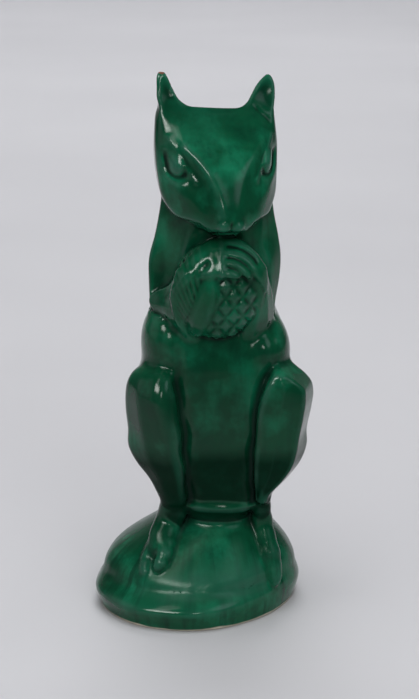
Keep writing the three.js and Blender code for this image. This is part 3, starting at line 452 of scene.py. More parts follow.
def paw(room, side, low, high, grooves, deep, wide):
    """One paw's share of the dome over the nut, with its fingers parted by grooves from low to high."""
    leaning = room.x - PAW_LEAN * (room.z - PAW_CENTRE[2])
    dome = even(ellipsoid(room.measured(leaning), PAW_CENTRE, PAW_RADII))
    edge = np.interp(room.x.ravel(), PAW_EDGE_X, PAW_EDGE_Z)[:, None, None]
    made = cut_by(dome, (edge - room.z) * 0.9, 1.6)
    reach = np.hypot((leaning - PAW_CENTRE[0]) / PAW_RADII[0], (room.z - PAW_CENTRE[2]) / PAW_RADII[2])
    outward = room.x * side
    across = ease(outward, low, low + 2.5) * (1 - ease(outward, high, high + 3)) * ease(room.f, 24, 28)
    for at in grooves:
        made = made + deep * bump((reach - at) * PAW_RADII[2], wide) * across
    return cut_by(made, PAW_BACK - room.f, 1)


room = Room((-36, -14, 104), (8, 42, 172))
upper = outlines(room, ARM_HEIGHTS, [
    [(-14, 12), (-24.4, 10), (-22.5, 3), (-12, 3)], [(-14, 14), (-25.9, 10), (-23.5, 1), (-11, 1)],
    [(-13, 16), (-26.8, 9), (-24.5, -1), (-10, -2)], [(-12, 17.5), (-26.8, 7), (-24.4, -3), (-10, -5)],
    [(-11, 18), (-26, 5.5), (-23.6, -5), (-9, -7)], [(-9, 18.5), (-23.7, 5), (-21.6, -6), (-8, -8)],
    [(-7, 19), (-22.1, 6), (-20, -6), (-7, -8)], [(-6, 18), (-20.4, 6), (-18, -6), (-6, -8)],
], 2.6)
upper = level_ends(room, upper, 113, 4, SHOULDER, 2)
fore = outlines(room, [109, 113, 117, 121, 124, 127, 130, 134.6, 139], [
    [(-15, 15), (-12.5, 19), (-10.5, 22), (-7, 22), (-7, 6), (-13, 6)],
    [(-18.8, 15), (-15.5, 21), (-13.2, 24.5), (-8, 24.5), (-8, 6), (-16, 6)],
    [(-23, 13.5), (-18.6, 21.5), (-15.4, 26), (-9, 26), (-9, 5), (-20, 5)],
    [(-26.6, 11), (-20.4, 22), (-16.6, 27), (-10, 27), (-10, 4), (-23, 4)],
    [(-26.6, 10.5), (-19.6, 23.6), (-17, 27.5), (-10, 28), (-10, 4), (-23, 4)],
    [(-24.8, 12), (-18.2, 26.6), (-16.8, 28.4), (-10, 29), (-10, 5), (-21, 5)],
    [(-21, 17.5), (-17, 28.4), (-15.6, 29.4), (-10, 30), (-10, 6), (-18, 6)],
    [(-17.9, 23.6), (-14, 31), (-12, 31.6), (-8, 31.6), (-8, 8), (-15, 8)],
    [(-15.6, 26.4), (-11.5, 31.8), (-10, 32), (-6, 32), (-6, 10), (-13, 10)],
], 1.5)
fore = level_ends(room, fore, ELBOW, 2, 138, 2)
fingers = cut_by(paw(room, -1, 2.4, 11, [0.66], 1.3, 1.3), room.x - 0.4, 0.6)
add("right_arm", room, blended(blended(upper, fore, 2), fingers, 1.6), 2.2)

room = Room((-6, -14, 102), (32, 42, 172))
upper = outlines(room, ARM_HEIGHTS, [
    [(11, 13), (16.6, 13), (20.6, 9), (19, 2), (10, 2)],
    [(11, 14.5), (18.2, 13.8), (21.6, 9), (19.6, 0), (9, -1)],
    [(10.5, 15.5), (19.4, 13.8), (22.3, 8), (20.4, -2), (9, -3)],
    [(10, 16), (20.2, 13.6), (23.8, 6), (21.8, -4), (9, -5)],
    [(9, 17), (19.2, 14), (24.4, 4), (22, -5), (9, -7)],
    [(8, 18), (17, 14), (23.4, 4), (21, -6), (8, -8)],
    [(7, 18.5), (16.8, 12.5), (21.8, 4.5), (20, -6), (7, -8)],
    [(6, 18), (15.6, 12), (20.4, 5), (18.5, -6), (6, -8)],
], 1.7)
upper = level_ends(room, upper, 111.5, 3, SHOULDER, 2)
fore = outlines(room, [109, 113, 118, 126, 134, 139], [
    [(19.6, 12.5), (17.6, 17.5), (13.2, 21), (9, 21), (9, 4), (17, 4)],
    [(21, 13), (18.6, 18.6), (13.7, 23.2), (9, 23.2), (9, 4), (18.5, 4)],
    [(21.2, 14.5), (18.6, 20.8), (14.5, 25.2), (9, 25.2), (9, 5), (18.5, 5)],
    [(20.6, 18.5), (18.2, 24.2), (15.5, 27.4), (9, 28), (9, 6), (18, 6)],
    [(19, 22.8), (17.2, 27), (14.8, 30), (9, 30), (9, 8), (16.5, 8)],
    [(17.8, 25.2), (16, 29.2), (13.4, 31.4), (9, 31.4), (9, 10), (15, 10)],
], 1.4)
fore = level_ends(room, fore, ELBOW, 2, 139, 2)
fingers = cut_by(paw(room, 1, 1.2, 13, [0.86, 0.68, 0.5], 0.95, 0.85), 0.8 - room.x, 0.6)
add("left_arm", room, blended(blended(upper, fore, 1.2), fingers, 1.6), 1.8)

# The head, turned to the squirrel's left: a wedge from a flat crown to the nose, with a ridged bridge.
# Half of each level outline is given, from the bridge round to the back.
HEAD_TURN, HEAD_RIGHT = math.radians(10.5), 1.5
HEAD_HEIGHTS = [148.8, 150.5, 152.5, 155, 158, 162, 168, 173, 177.5, 182, 188, 193, 195.6]
HALF_HEAD = [
    [(0, 23.6), (1.5, 23.2), (3, 22.4), (4.5, 20.5), (4, 17), (2, 15)],
    [(0, 27.8), (2.6, 27.2), (5.5, 25.4), (8.5, 21), (8, 13), (4, 10)],
    [(0, 31.6), (3, 31), (8.2, 27), (12.6, 20), (11.5, 8), (6, 5)],
    [(0, 32.2), (3.2, 31.6), (10.6, 26.4), (16.6, 17.5), (15, 4), (8, 0)],
    [(0, 32.2), (2.9, 31.6), (12.4, 25.2), (19.4, 15), (18, -1), (10, -6)],
    [(0, 31.4), (2.8, 31), (14.2, 23.3), (21.6, 12.5), (20.5, -5), (12, -10)],
    [(0, 29.2), (3.9, 28.8), (17.3, 19.6), (22.7, 10), (21.5, -8), (13, -13)],
    [(0, 26.8), (6.2, 26.3), (18.8, 17), (23.3, 8.5), (22, -9), (13.5, -14)],
    [(0, 23.8), (9.8, 22.8), (19.4, 15.6), (23.5, 7.5), (22.2, -9), (13.5, -14.5)],
    [(0, 20.3), (14.5, 18.1), (20, 13.8), (23.6, 6.5), (22.2, -8.5), (13, -14.5)],
    [(0, 14.8), (16, 13), (20, 10), (23.2, 5.5), (22, -7), (12.5, -13.5)],
    [(0, 9.8), (15, 8.6), (19, 7), (22.2, 3), (21, -5), (11, -11)],
    [(0, 6.8), (14, 5.8), (17, 4.6), (20.2, 1), (19, -3.5), (10, -8)],
]
JAW_FULLNESS = [1.5, 1.9, 1.8, 1, 0.3, 0, 0, 0, 0, 0, 0, 0, 0]
HEAD_ROUNDING = [1, 1.6, 2.2, 2.6, 2.8, 2.6, 2.4, 2.2, 2, 2, 2.4, 2.6, 2.6]
BACK_DRAWN_IN, HEAD_SOFTNESS = 1.3, 2.4
CROWN, CROWN_LEAN, CHIN = 195.4, 0.055, 149.2
NOSE, NOSE_RADII = (2.4, 30.4, 153.8), (2.1, 2, 1.5)
MOUTH = [(-5, 151.4), (0, 151.9), (5, 151.4)]
LIP_CLEFT = [(0, 152), (0, 155.4)]
JAW_X = [0, 6.5, 10.3, 14.6, 18.1, 19.2, 21.5]
JAW_Z = [150.6, 151.8, 155, 155.7, 155.8, 156.6, 158.9]
JAW_UNDERCUT = 1.4
CHEEK, CHEEK_HIGH, CHEEK_WIDE = (15.5, 165.5), 0.8, 5
LID, LID_HIGH = [(19.6, 185), (16, 178), (13.6, 173.2), (11.6, 169.6)], 0.5
EYE, EYE_WIDE, EYE_ABOVE, EYE_BELOW, EYE_LEAN = (16.9, 175.2), 2.7, 5.2, 3.6, 0.22
EYEBALL_HIGH, EYE_RING_DEEP, SOCKET, SOCKET_DEEP = 1.8, 0.85, (17.2, 176), 0.5
# The two ridges of the face: their points, height and width
RIGHT_RIDGE = [(14, 181.5), (10.8, 178), (7.6, 173), (5.4, 167.5), (4.2, 162), (3.2, 155.5)], 1.2, 2.8
LEFT_RIDGE = [(16, 181.5), (12.8, 178), (9.2, 173), (6.6, 167.5), (5, 162), (3.2, 155.5)], 0.5, 4.2


def head_outline(half, fuller):
    """A whole outline from its half, fuller at the jaw on the left and drawn in at the back on the right."""
    left = [(x + fuller * x / half[3][0], f) for x, f in half[1:]]
    right = [(-x + BACK_DRAWN_IN * (f < 0), f) for x, f in half[:0:-1]]
    return [half[0], *left, *right]


head_room = room = Room((-34, -24, 144), (34, 44, 200))
hx, hf = room.turned(HEAD_TURN)
hx = hx + HEAD_RIGHT
turned = room.measured(hx, hf)
whole = [head_outline(half, fuller) for half, fuller in zip(HALF_HEAD, JAW_FULLNESS)]
head = blur(outlines(turned, HEAD_HEIGHTS, whole, HEAD_ROUNDING), HEAD_SOFTNESS)
dip = 0.7 * bump(hx - 2, 11) + CROWN_LEAN * hx
crown = (room.z - CROWN + dip + 0.36 * np.maximum(6.5 - hf, 0)) * 0.95
head_inner = cut_by(head + WALL, crown + WALL, 1)
head = cut_by(head, crown, 2.2)
head = cut_by(head, CHIN - room.z, 1.5)
for side in (-1, 1):
    head = blended(head, ellipsoid(turned, (side * NOSE[0], *NOSE[1:]), NOSE_RADII), 1.2)
face = ease(hf, 4, 9)
for side, (ridge, ridge_high, ridge_wide) in ((-1, RIGHT_RIDGE), (1, LEFT_RIDGE)):
    u = side * hx
    roll = from_line(u, room.z, ridge)
    cheek = np.hypot(u - CHEEK[0], room.z - CHEEK[1])
    lid = from_line(u, room.z, LID)
    above = np.maximum(room.z - EYE[1], 0)
    eye_u = (u - EYE[0] - EYE_LEAN * above) / EYE_WIDE
    eye = np.hypot(eye_u, (room.z - EYE[1]) / np.where(room.z > EYE[1], EYE_ABOVE, EYE_BELOW))
    outer_side = ease(0.55 * (u - EYE[0]) - 0.5 * (room.z - EYE[1]), -1.6, 0.9)
    ring = EYE_RING_DEEP * bump((eye - 1.2) * 2.6, 0.85) * (0.12 + 0.88 * outer_side)
    socket = bump(np.hypot((u - SOCKET[0]) / 4.8, (room.z - SOCKET[1]) / 6.4), 0.85)
    head = head - face * (ridge_high * bump(roll, ridge_wide) + CHEEK_HIGH * bump(cheek, CHEEK_WIDE))
    head = head + face * SOCKET_DEEP * socket
    head = head + face * (ring - EYEBALL_HIGH * (1 - ease(eye, 0.05, 1.1)))
    head = head - face * (LID_HIGH * bump(lid, 1) + 0.15 * bump((eye - 2) * 2.6, 0.9) * outer_side)
    below = np.interp(u.ravel(), JAW_X, JAW_Z).reshape(u.shape) - room.z
    under_jaw = JAW_UNDERCUT * ease(below, -0.4, 1) * ease(u, 3, 8)
    head = head + np.where(u > 0, under_jaw, 0) * ease(room.f, -2, 6)
head = head + face * (0.9 * bump(from_line(hx, room.z, MOUTH), 0.6))
head = head + face * 0.5 * bump(from_line(hx, room.z, LIP_CLEFT), 0.5)
add("head", room, head, 1.2)

# The ears: heights, and at each the inner and outer edge, the front and the back. The trim narrows the back.
RIGHT_EAR = [182, 189, 194, 196.3, 198.4, 202, 205, 207.4], [
    (9, 19.4, 10, -7), (10, 20.8, 8.4, -5.5), (11.4, 21.4, 7, -4.2), (12.4, 21.8, 6.2, -3.4),
    (13.4, 22.3, 5.4, -2.4), (14.9, 22.2, 4.2, -1.2), (16.3, 22.1, 3.4, -0.4), (17.5, 21.8, 2.7, 0.4),
]
LEFT_EAR = [182, 189, 193, 195, 197.5, 200, 202.6, 205.4], [
    (9, 19, 10, -7), (9.6, 19.8, 8.6, -5.5), (9, 20.6, 7.4, -4.2), (9.7, 21.2, 6.6, -3.4),
    (11, 21.7, 5.6, -2.4), (12.6, 21.9, 4.6, -1.4), (14.4, 21.8, 3.8, -0.6), (17.2, 20.9, 2.9, 0.4),
]
EAR_FOOT, EAR_TIP, EAR_FILLET, EAR_HOLLOW = 183, 0.5, 3.6, 0.5
RIGHT_TRIM, LEFT_TRIM, LEFT_EAR_RIGHT = 0.2, 0, 0.3
for name, side, (heights, rows), trim, shift in (
    ("right_ear", -1, RIGHT_EAR, RIGHT_TRIM, HEAD_RIGHT),
    ("left_ear", 1, LEFT_EAR, LEFT_TRIM, LEFT_EAR_RIGHT),
):
    room = Room((-32 if side < 0 else 0, -20, 180), (0 if side < 0 else 32, 24, 211))
    ex, ef = room.turned(HEAD_TURN)
    ex = ex + shift
    ear = outlines(room.measured(ex, ef), heights, [
        [(side * a, b), (side * c, b), (side * (c - trim * (c - a)), d), (side * (0.45 * a + 0.55 * c), d)]
        for a, c, b, d in rows
    ], 0.9)
    ear = level_ends(room, ear, EAR_FOOT, 1, heights[-1] + EAR_TIP, 1.6)
    hollow = bump(np.hypot(ex - side * 17.8, (room.z - 197) * 0.45), 2.6) * ease(ef, 1, 3)
    add(name, room, ear + EAR_HOLLOW * hollow, EAR_FILLET)

# Crease at the foot of the left ear
CREASE, CREASE_DEEP, CREASE_WIDE = [(13.2, 194.6), (18, 190.8), (23.4, 185.8)], 0.6, 1.1
room = Room((9, -6, 184), (29, 24, 200))
crease = CREASE_DEEP * bump(from_line(room.x, room.z, CREASE), CREASE_WIDE)
carve(room, crease * ease(room.f, -3, 1) * ease(room.x, 12.5, 15) * (1 - ease(room.x, 18.5, 21.5)))

# The tail up the back
TAIL_FOOT, TAIL_TIP = 28, 174.5
STRAND_GAP, STRAND_DEEP = 4.2, 0.55
room = Room((-28, -53, 26), (28, -8, 182))
tail = ovals(room, [28, 40, 62, 80, 98, 112, 126, 140, 153, 162, 169, 174.5], [
    [0, -24.5, 12, 9.5, 2], [0.2, -28, 14.5, 10.5, 2], [0.5, -32.5, 17, 11.4, 2.1],
    [0.8, -32.8, 19, 11.5, 2.1], [1, -31.5, 20, 11.5, 2.1], [1, -28, 20.2, 11.5, 2.1],
    [1, -24.2, 20, 11.2, 2.1], [1, -22.3, 19, 10.2, 2.1], [1, -22.2, 17, 8.8, 2],
    [1, -24.5, 13, 7, 2], [1, -28.5, 9, 5, 2], [1, -32.5, 4, 2.6, 2],
])
tail = level_ends(room, tail, TAIL_FOOT, 2, TAIL_TIP, 2)
aside = room.x - 1
strand = (aside * (1 + 0.25 * ease(room.z, 60, 20)) + 2.2 * np.sin(room.z / 17) * np.sign(aside)) / STRAND_GAP
strands = bump(np.abs(strand - np.round(strand)) * STRAND_GAP, 0.9)
behind = 1 - ease(room.f, -34, -26)
tail = tail + STRAND_DEEP * strands * behind * ease(room.z, 34, 48)
add("tail", room, tail, 2.6)

# Recesses in front of the shoulders: the arm, the middle's x and z, half width, half height and depth
RECESSES = ("right_arm", -20.5, 131.5, 5.6, 11.5, 2.6), ("left_arm", 15.6, 140, 3.4, 10, 1.4)
RECESS_LEAN = 0.18
room = Room((-30, -6, 116), (30, 26, 162))
for name, x, z, wide, tall, deep in RECESSES:
    lean = RECESS_LEAN * math.copysign(1, x)
    away = np.hypot((room.x - x - lean * (z - room.z)) / wide, (room.z - z) / tall)
    carve(room, deep * bump(away, 1) * ease(room.f, 2, 8) * (owner[room.cut] == NUMBERS[name]))

# Wavering grooves beside the belly, and a soft ridge down its middle
RIGHT_GROOVE = [
    (-17.4, 112), (-15.7, 104), (-15.3, 98), (-15, 93),
    (-13.6, 79.5), (-12.4, 68), (-11.1, 55.6), (-10.8, 45),
]
LEFT_GROOVE = [
    (20, 113), (21.4, 107), (20.8, 100.5), (17.6, 94), (14.8, 87), (12.9, 75), (12.5, 63.6), (12.8, 45),
]
GROOVE_DEEP, GROOVE_WIDE = 1.15, 2
BELLY_RIDGE, BELLY_RIDGE_HIGH = [(3.6, 110), (3.8, 90), (2.4, 74)], 0.35
room = Room((-24, 8, 40), (28, 36, 116))
belly_front = ease(room.f, 12, 18)
wavy_x = room.x + 0.5 * np.sin(room.z / 4.3) + 0.35 * np.sin(room.z / 2.1 + 1)
grooves = sum(bump(from_line(wavy_x, room.z, line), GROOVE_WIDE) for line in (RIGHT_GROOVE, LEFT_GROOVE))
deep = (0.55 + 0.45 * ease(room.z, 102, 94)) * (0.85 + 0.15 * np.sin(room.z / 3.4))
carve(room, belly_front * deep * GROOVE_DEEP * grooves)
ridge = bump(from_line(room.x, room.z, BELLY_RIDGE), 2)
carve(room, -BELLY_RIDGE_HIGH * ridge * belly_front * ease(room.z, 70, 84))

# Hollow inside, with the way through the seat and the neck
FLOOR_TOP = 6.5
mound_inner = cut_by(mound_inner, FLOOR_TOP - mound_room.z, 1)
for inner, place in ((torso_inner, torso_room), (head_inner, head_room), (mound_inner, mound_room)):
    field[place.cut] = cut_by(field[place.cut], -inner, 0.5)

# Coin slot at the back of the head, foot ring and cork hole
SLOT_TURN, SLOT_HALF, SLOT_LEVEL, SLOT_HALF_HIGH = math.radians(8), 14, 183, 2.5
room = Room((-26, -24, 174), (26, 6, 192))
sx, sf = room.turned(SLOT_TURN)
slot = np.maximum(np.abs(sx) - SLOT_HALF, np.abs(room.z - SLOT_LEVEL) - SLOT_HALF_HIGH)
field[room.cut] = cut_by(field[room.cut], -np.maximum(slot, sf), 1)
RING_WIDTH, RING_HEIGHT = 6, 1.5
FOOT_HALF_X, FOOT_HALF_F = 37.1, 42.2
room = Room((-49, -53, -3), (36, 44, 12))
ring_x, ring_f = FOOT_HALF_X - RING_WIDTH, FOOT_HALF_F - RING_WIDTH
across = room.x + MOUND_SKEW * (room.f - MOUND_F)
r = np.hypot((across - MOUND_X) / ring_x, (room.f - MOUND_F) / ring_f)
recess = np.maximum((r - 1) * ring_x, room.z - RING_HEIGHT)
field[room.cut] = cut_by(field[room.cut], -recess, 0.6)
CORK_RADIUS, CORK_TAPER, CORK_LOW, CORK_LENGTH, CORK_ROOM = 15, 2, 1, 13, 0.3
hole_radius = CORK_RADIUS + CORK_ROOM - (room.z - CORK_LOW) * CORK_TAPER / 2 / CORK_LENGTH
hole = np.hypot(room.x - MOUND_X, room.f - MOUND_F) - hole_radius
field[room.cut] = cut_by(field[room.cut], -hole, 0.5)


CORNERS = np.array([(c >> 2 & 1, c >> 1 & 1, c & 1) for c in range(8)])
CELL_EDGES = [(a, a | bit) for a in range(8) for bit in (1, 2, 4) if not a & bit]


def sampled(values, places):
    """Values of a grid at places between its points."""
    at = (places - LOW) / STEP
    base = np.clip(np.floor(at).astype(int), 0, COUNT - 2)
    t = (at - base).astype(np.float32)
    made = 0
    for corner in CORNERS:
        weight = np.prod(np.where(corner, t, 1 - t), axis=1)
        made = made + weight * values[tuple((base + corner).T)]
    return made


# Each point of the grid inside the clay has its piece's number. Specks of one piece inside another go to the
# piece that has the most of their neighbours.
SPECK_PASSES, SPECK_NEIGHBOURS = 6, 2
MIDDLE = (slice(1, -1),) * 3
labels = np.where(field < 0, np.maximum(owner, 1), 0).astype(np.int8)
for _ in range(SPECK_PASSES):
    middle = labels[MIDDLE]
    near = [np.roll(labels, shift, axis)[MIDDLE] for axis in range(3) for shift in (-1, 1)]
    speck = (middle > 0) & (sum((side == middle).astype(np.int8) for side in near) <= SPECK_NEIGHBOURS)
    beside = np.stack([side[speck] for side in near])
    votes = np.stack([(beside == number).sum(0) for number in NUMBERS.values()])
    middle[speck] = np.where(votes.max(0) > 0, votes.argmax(0) + 1, 0)

# One vertex in each cell where labels meet, shared by the pieces on both sides, so that no gap is left
corner_cut = [tuple(slice(o, -1 if o == 0 else None) for o in corner) for corner in CORNERS]
first = labels[corner_cut[0]]
mixed = np.zeros(first.shape, bool)
for cut in corner_cut[1:]:
    mixed |= labels[cut] != first
cells = np.argwhere(mixed)
corner_value = np.stack([field[cut][mixed] for cut in corner_cut], 1)
corner_label = np.stack([labels[cut][mixed] for cut in corner_cut], 1)
skin_sum, seam_sum = np.zeros((2, len(cells), 3), np.float32)
skin_count, seam_count = np.zeros((2, len(cells)), np.float32)
for a, b in CELL_EDGES:
    va, vb, la, lb = corner_value[:, a], corner_value[:, b], corner_label[:, a], corner_label[:, b]
    crosses = (la == 0) != (lb == 0)
    t = np.where(crosses, va / np.where(va == vb, 1, va - vb), 0.5)[:, None]
    point = (CORNERS[a] + np.clip(t, 0, 1) * (CORNERS[b] - CORNERS[a])).astype(np.float32)
    skin_sum += point * crosses[:, None]
    skin_count += crosses
    parts = (la != lb) & ~crosses
    seam_sum += point * parts[:, None]
    seam_count += parts
on_skin = skin_count > 0
skin_middle = skin_sum / np.maximum(skin_count, 1)[:, None]
seam_middle = seam_sum / np.maximum(seam_count, 1)[:, None]
points = LOW + STEP * (cells + np.where(on_skin[:, None], skin_middle, seam_middle))

# The vertices are drawn to the surface, and keep its normal and how far it curves over two reaches
SURFACE_PASSES, FINE_REACH, BROAD_REACH = 2, 1.2, 3.6
slopes = np.gradient(field, STEP)
for _ in range(SURFACE_PASSES):
    value = sampled(field, points)
    normal = np.stack([sampled(slope, points) for slope in slopes], 1)
    move = np.clip(value / np.maximum((normal**2).sum(1), LEAST_SLOPE**2), -STEP / 2, STEP / 2)
    points = points - np.where(on_skin, move, 0)[:, None] * normal
normal = np.stack([sampled(slope, points) for slope in slopes], 1)
normal /= np.maximum(np.linalg.norm(normal, axis=1, keepdims=True), LEAST_LENGTH)
curves = {
    name: sampled(blur(field, reach) - field, points)
    for name, reach in (("fine", FINE_REACH), ("broad", BROAD_REACH))
}

# One face, for each piece that it bounds, across each edge of the grid where the label changes
cell_number = np.full(mixed.shape, -1, np.int32)
cell_number[mixed] = np.arange(len(cells), dtype=np.int32)
quads, quad_piece, quad_skin = [], [], []
for axis in range(3):
    one, two = [a for a in range(3) if a != axis]
    low_cut, high_cut = list(MIDDLE), list(MIDDLE)
    low_cut[axis], high_cut[axis] = slice(0, -1), slice(1, None)
    la, lb = labels[tuple(low_cut)], labels[tuple(high_cut)]
    differ = la != lb
    base = np.argwhere(differ)
    la, lb = la[differ], lb[differ]
    ring = []
    for da, db in ((0, 0), (1, 0), (1, 1), (0, 1)):
        at = base.copy()
        at[:, one] += da
        at[:, two] += db
        ring.append(cell_number[tuple(at.T)])
    ring = np.stack(ring, 1)
    if axis == 1:
        ring = ring[:, ::-1]
    skin = (la == 0) | (lb == 0)
    # The figure's f axis points the other way from y, so the faces are turned round
    for label, faces in ((la, ring[:, ::-1]), (lb, ring)):
        kept = label > 0
        quads.append(faces[kept])
        quad_piece.append(label[kept])
        quad_skin.append(skin[kept])
quads, quad_piece, quad_skin = np.concatenate(quads), np.concatenate(quad_piece), np.concatenate(quad_skin)
world = np.stack([points[:, 0] + FIGURE_X, FIGURE_Y - points[:, 1], points[:, 2]], 1) * MM
world_normal = normal * [1, -1, 1]


def skin_piece(name, faces, skin):
    """A piece's own mesh. Its skin has the field's smooth normals, and its hidden seams are left flat."""
    used, number = np.unique(faces, return_inverse=True)
    number = number.reshape(-1, 4)
    mesh = bpy.data.meshes.new(name)
    mesh.vertices.add(len(used))
    mesh.vertices.foreach_set("co", world[used].astype(np.float32).ravel())
    mesh.loops.add(number.size)
    mesh.loops.foreach_set("vertex_index", number.ravel().astype(np.int32))
    mesh.polygons.add(len(number))
    mesh.polygons.foreach_set("loop_start", np.arange(0, number.size, 4, dtype=np.int32))
    mesh.polygons.foreach_set("use_smooth", np.ones(len(number), bool))
    mesh.update(calc_edges=True)
    mesh.validate()
    corner_normal = world_normal[used][number]
    flat = np.zeros(len(number) * 3, np.float32)
    mesh.polygons.foreach_get("normal", flat)
    corner_normal = np.where(skin[:, None, None], corner_normal, flat.reshape(-1, 1, 3))
    mesh.normals_split_custom_set(corner_normal.reshape(-1, 3))
    for label, values in curves.items():
        attribute = mesh.attributes.new(label, "FLOAT", "POINT")
        attribute.data.foreach_set("value", values[used].astype(np.float32))
    return placed(name, mesh)


class Nodes:
    """The node tree of a material or a world, with short calls to add nodes and links."""

    def __init__(self, owner):
        owner.use_nodes = True
        self.owner, self.tree = owner, owner.node_tree
        self.shader = self.tree.nodes.get("Principled BSDF")

    def add(self, kind, inputs=(), **settings):
        node = self.tree.nodes.new(kind)
        for key, value in settings.items():
            setattr(node, key, value)
        for key, value in dict(inputs).items():
            self.put(node.inputs[key], value)
        return node

    def put(self, socket, value):
        if isinstance(value, bpy.types.NodeSocket):
            self.tree.links.new(value, socket)
        else:
            socket.default_value = value

    def math(self, operation, a, b):
        return self.add("ShaderNodeMath", {0: a, 1: b}, operation=operation).outputs[0]

    def times(self, a, *others):
        for b in others:
            a = self.math("MULTIPLY", a, b)
        return a

    def plus(self, a, b):
        return self.math("ADD", a, b)

    def vector(self, operation, a, b):
        return self.add("ShaderNodeVectorMath", {0: a, 1: b}, operation=operation).outputs

    def ramp(self, value, low, high):
        return self.add("ShaderNodeMapRange", {"Value": value, "From Min": low, "From Max": high}).outputs[0]

    def mix(self, factor, a, b):
        return self.add("ShaderNodeMix", {0: factor, 6: a, 7: b}, data_type="RGBA").outputs[2]

    def noise(self, place, scale, detail=3, rough=0.55):
        return self.add("ShaderNodeTexNoise", {
            "Vector": place, "Scale": scale, "Detail": detail, "Roughness": rough,
        }).outputs[0]

    def place(self):
        return self.add("ShaderNodeTexCoord").outputs["Object"]

    def set(self, name, value):
        self.put(self.shader.inputs[name], value)

    def relief(self, strength, distance, height):
        lumps = self.add("ShaderNodeBump", {"Strength": strength, "Distance": distance, "Height": height})
        self.set("Normal", lumps.outputs[0])


# The glaze, in metres: where it clouds, runs, pools, thins or is bare, and where painted shade and painted
# light lie on it
CLOUD_DARK, CLOUD_LIGHT = (0.0022, 0.056, 0.024, 1), (0.004, 0.108, 0.047, 1)
MOTTLE, RUN, STREAK = (0.01, 0.215, 0.108, 1), (0.002, 0.044, 0.022, 1), (0.0016, 0.036, 0.018, 1)
# The colour for steep faces is painted shade on steep and downward faces above the rim
# The colour for the underside is painted shade on downward faces low on the figure
STEEP_SHADE, UNDER_SHADE, CROWN_DARK = (0.0012, 0.024, 0.011, 1), (0.0008, 0.01, 0.005, 1), (0.0014, 0.032, 0.016, 1)
# The convex colour is painted light on broad bulges
# The pool colour is glaze pooled in fine hollows, and painted shade in broad hollows
POOL_AND_SHADE, CONVEX_LIGHT, THIN = (0.0058, 0.015, 0.0115, 1), (0.012, 0.195, 0.102, 1), (0.035, 0.115, 0.08, 1)
# Painted light on the eyeballs
EYEBALL_LIGHT = (0.01, 0.165, 0.095, 1)
BARE_CLAY = (0.5, 0.44, 0.34, 1), (0.68, 0.64, 0.54, 1)
CHIP_CLAY = (0.1, 0.035, 0.02, 1), (0.22, 0.1, 0.06, 1)
RUN_SCALE, STREAK_ROUND, STREAK_UP = (260, 260, 34), 8, 30
EYE_PLACES = (-0.0102, -0.0245, 0.1752), (0.023, -0.0183, 0.1752)
CHIP_PLACE = (-0.0156, -0.0102, 0.2078)
MOUND_PLACE = ((FIGURE_X + MOUND_X) * MM, (FIGURE_Y - MOUND_F) * MM)
GLAZE_IOR, GLAZE_SPECULAR, GLAZE_ROUGH = 1.52, 0.18, 0.07


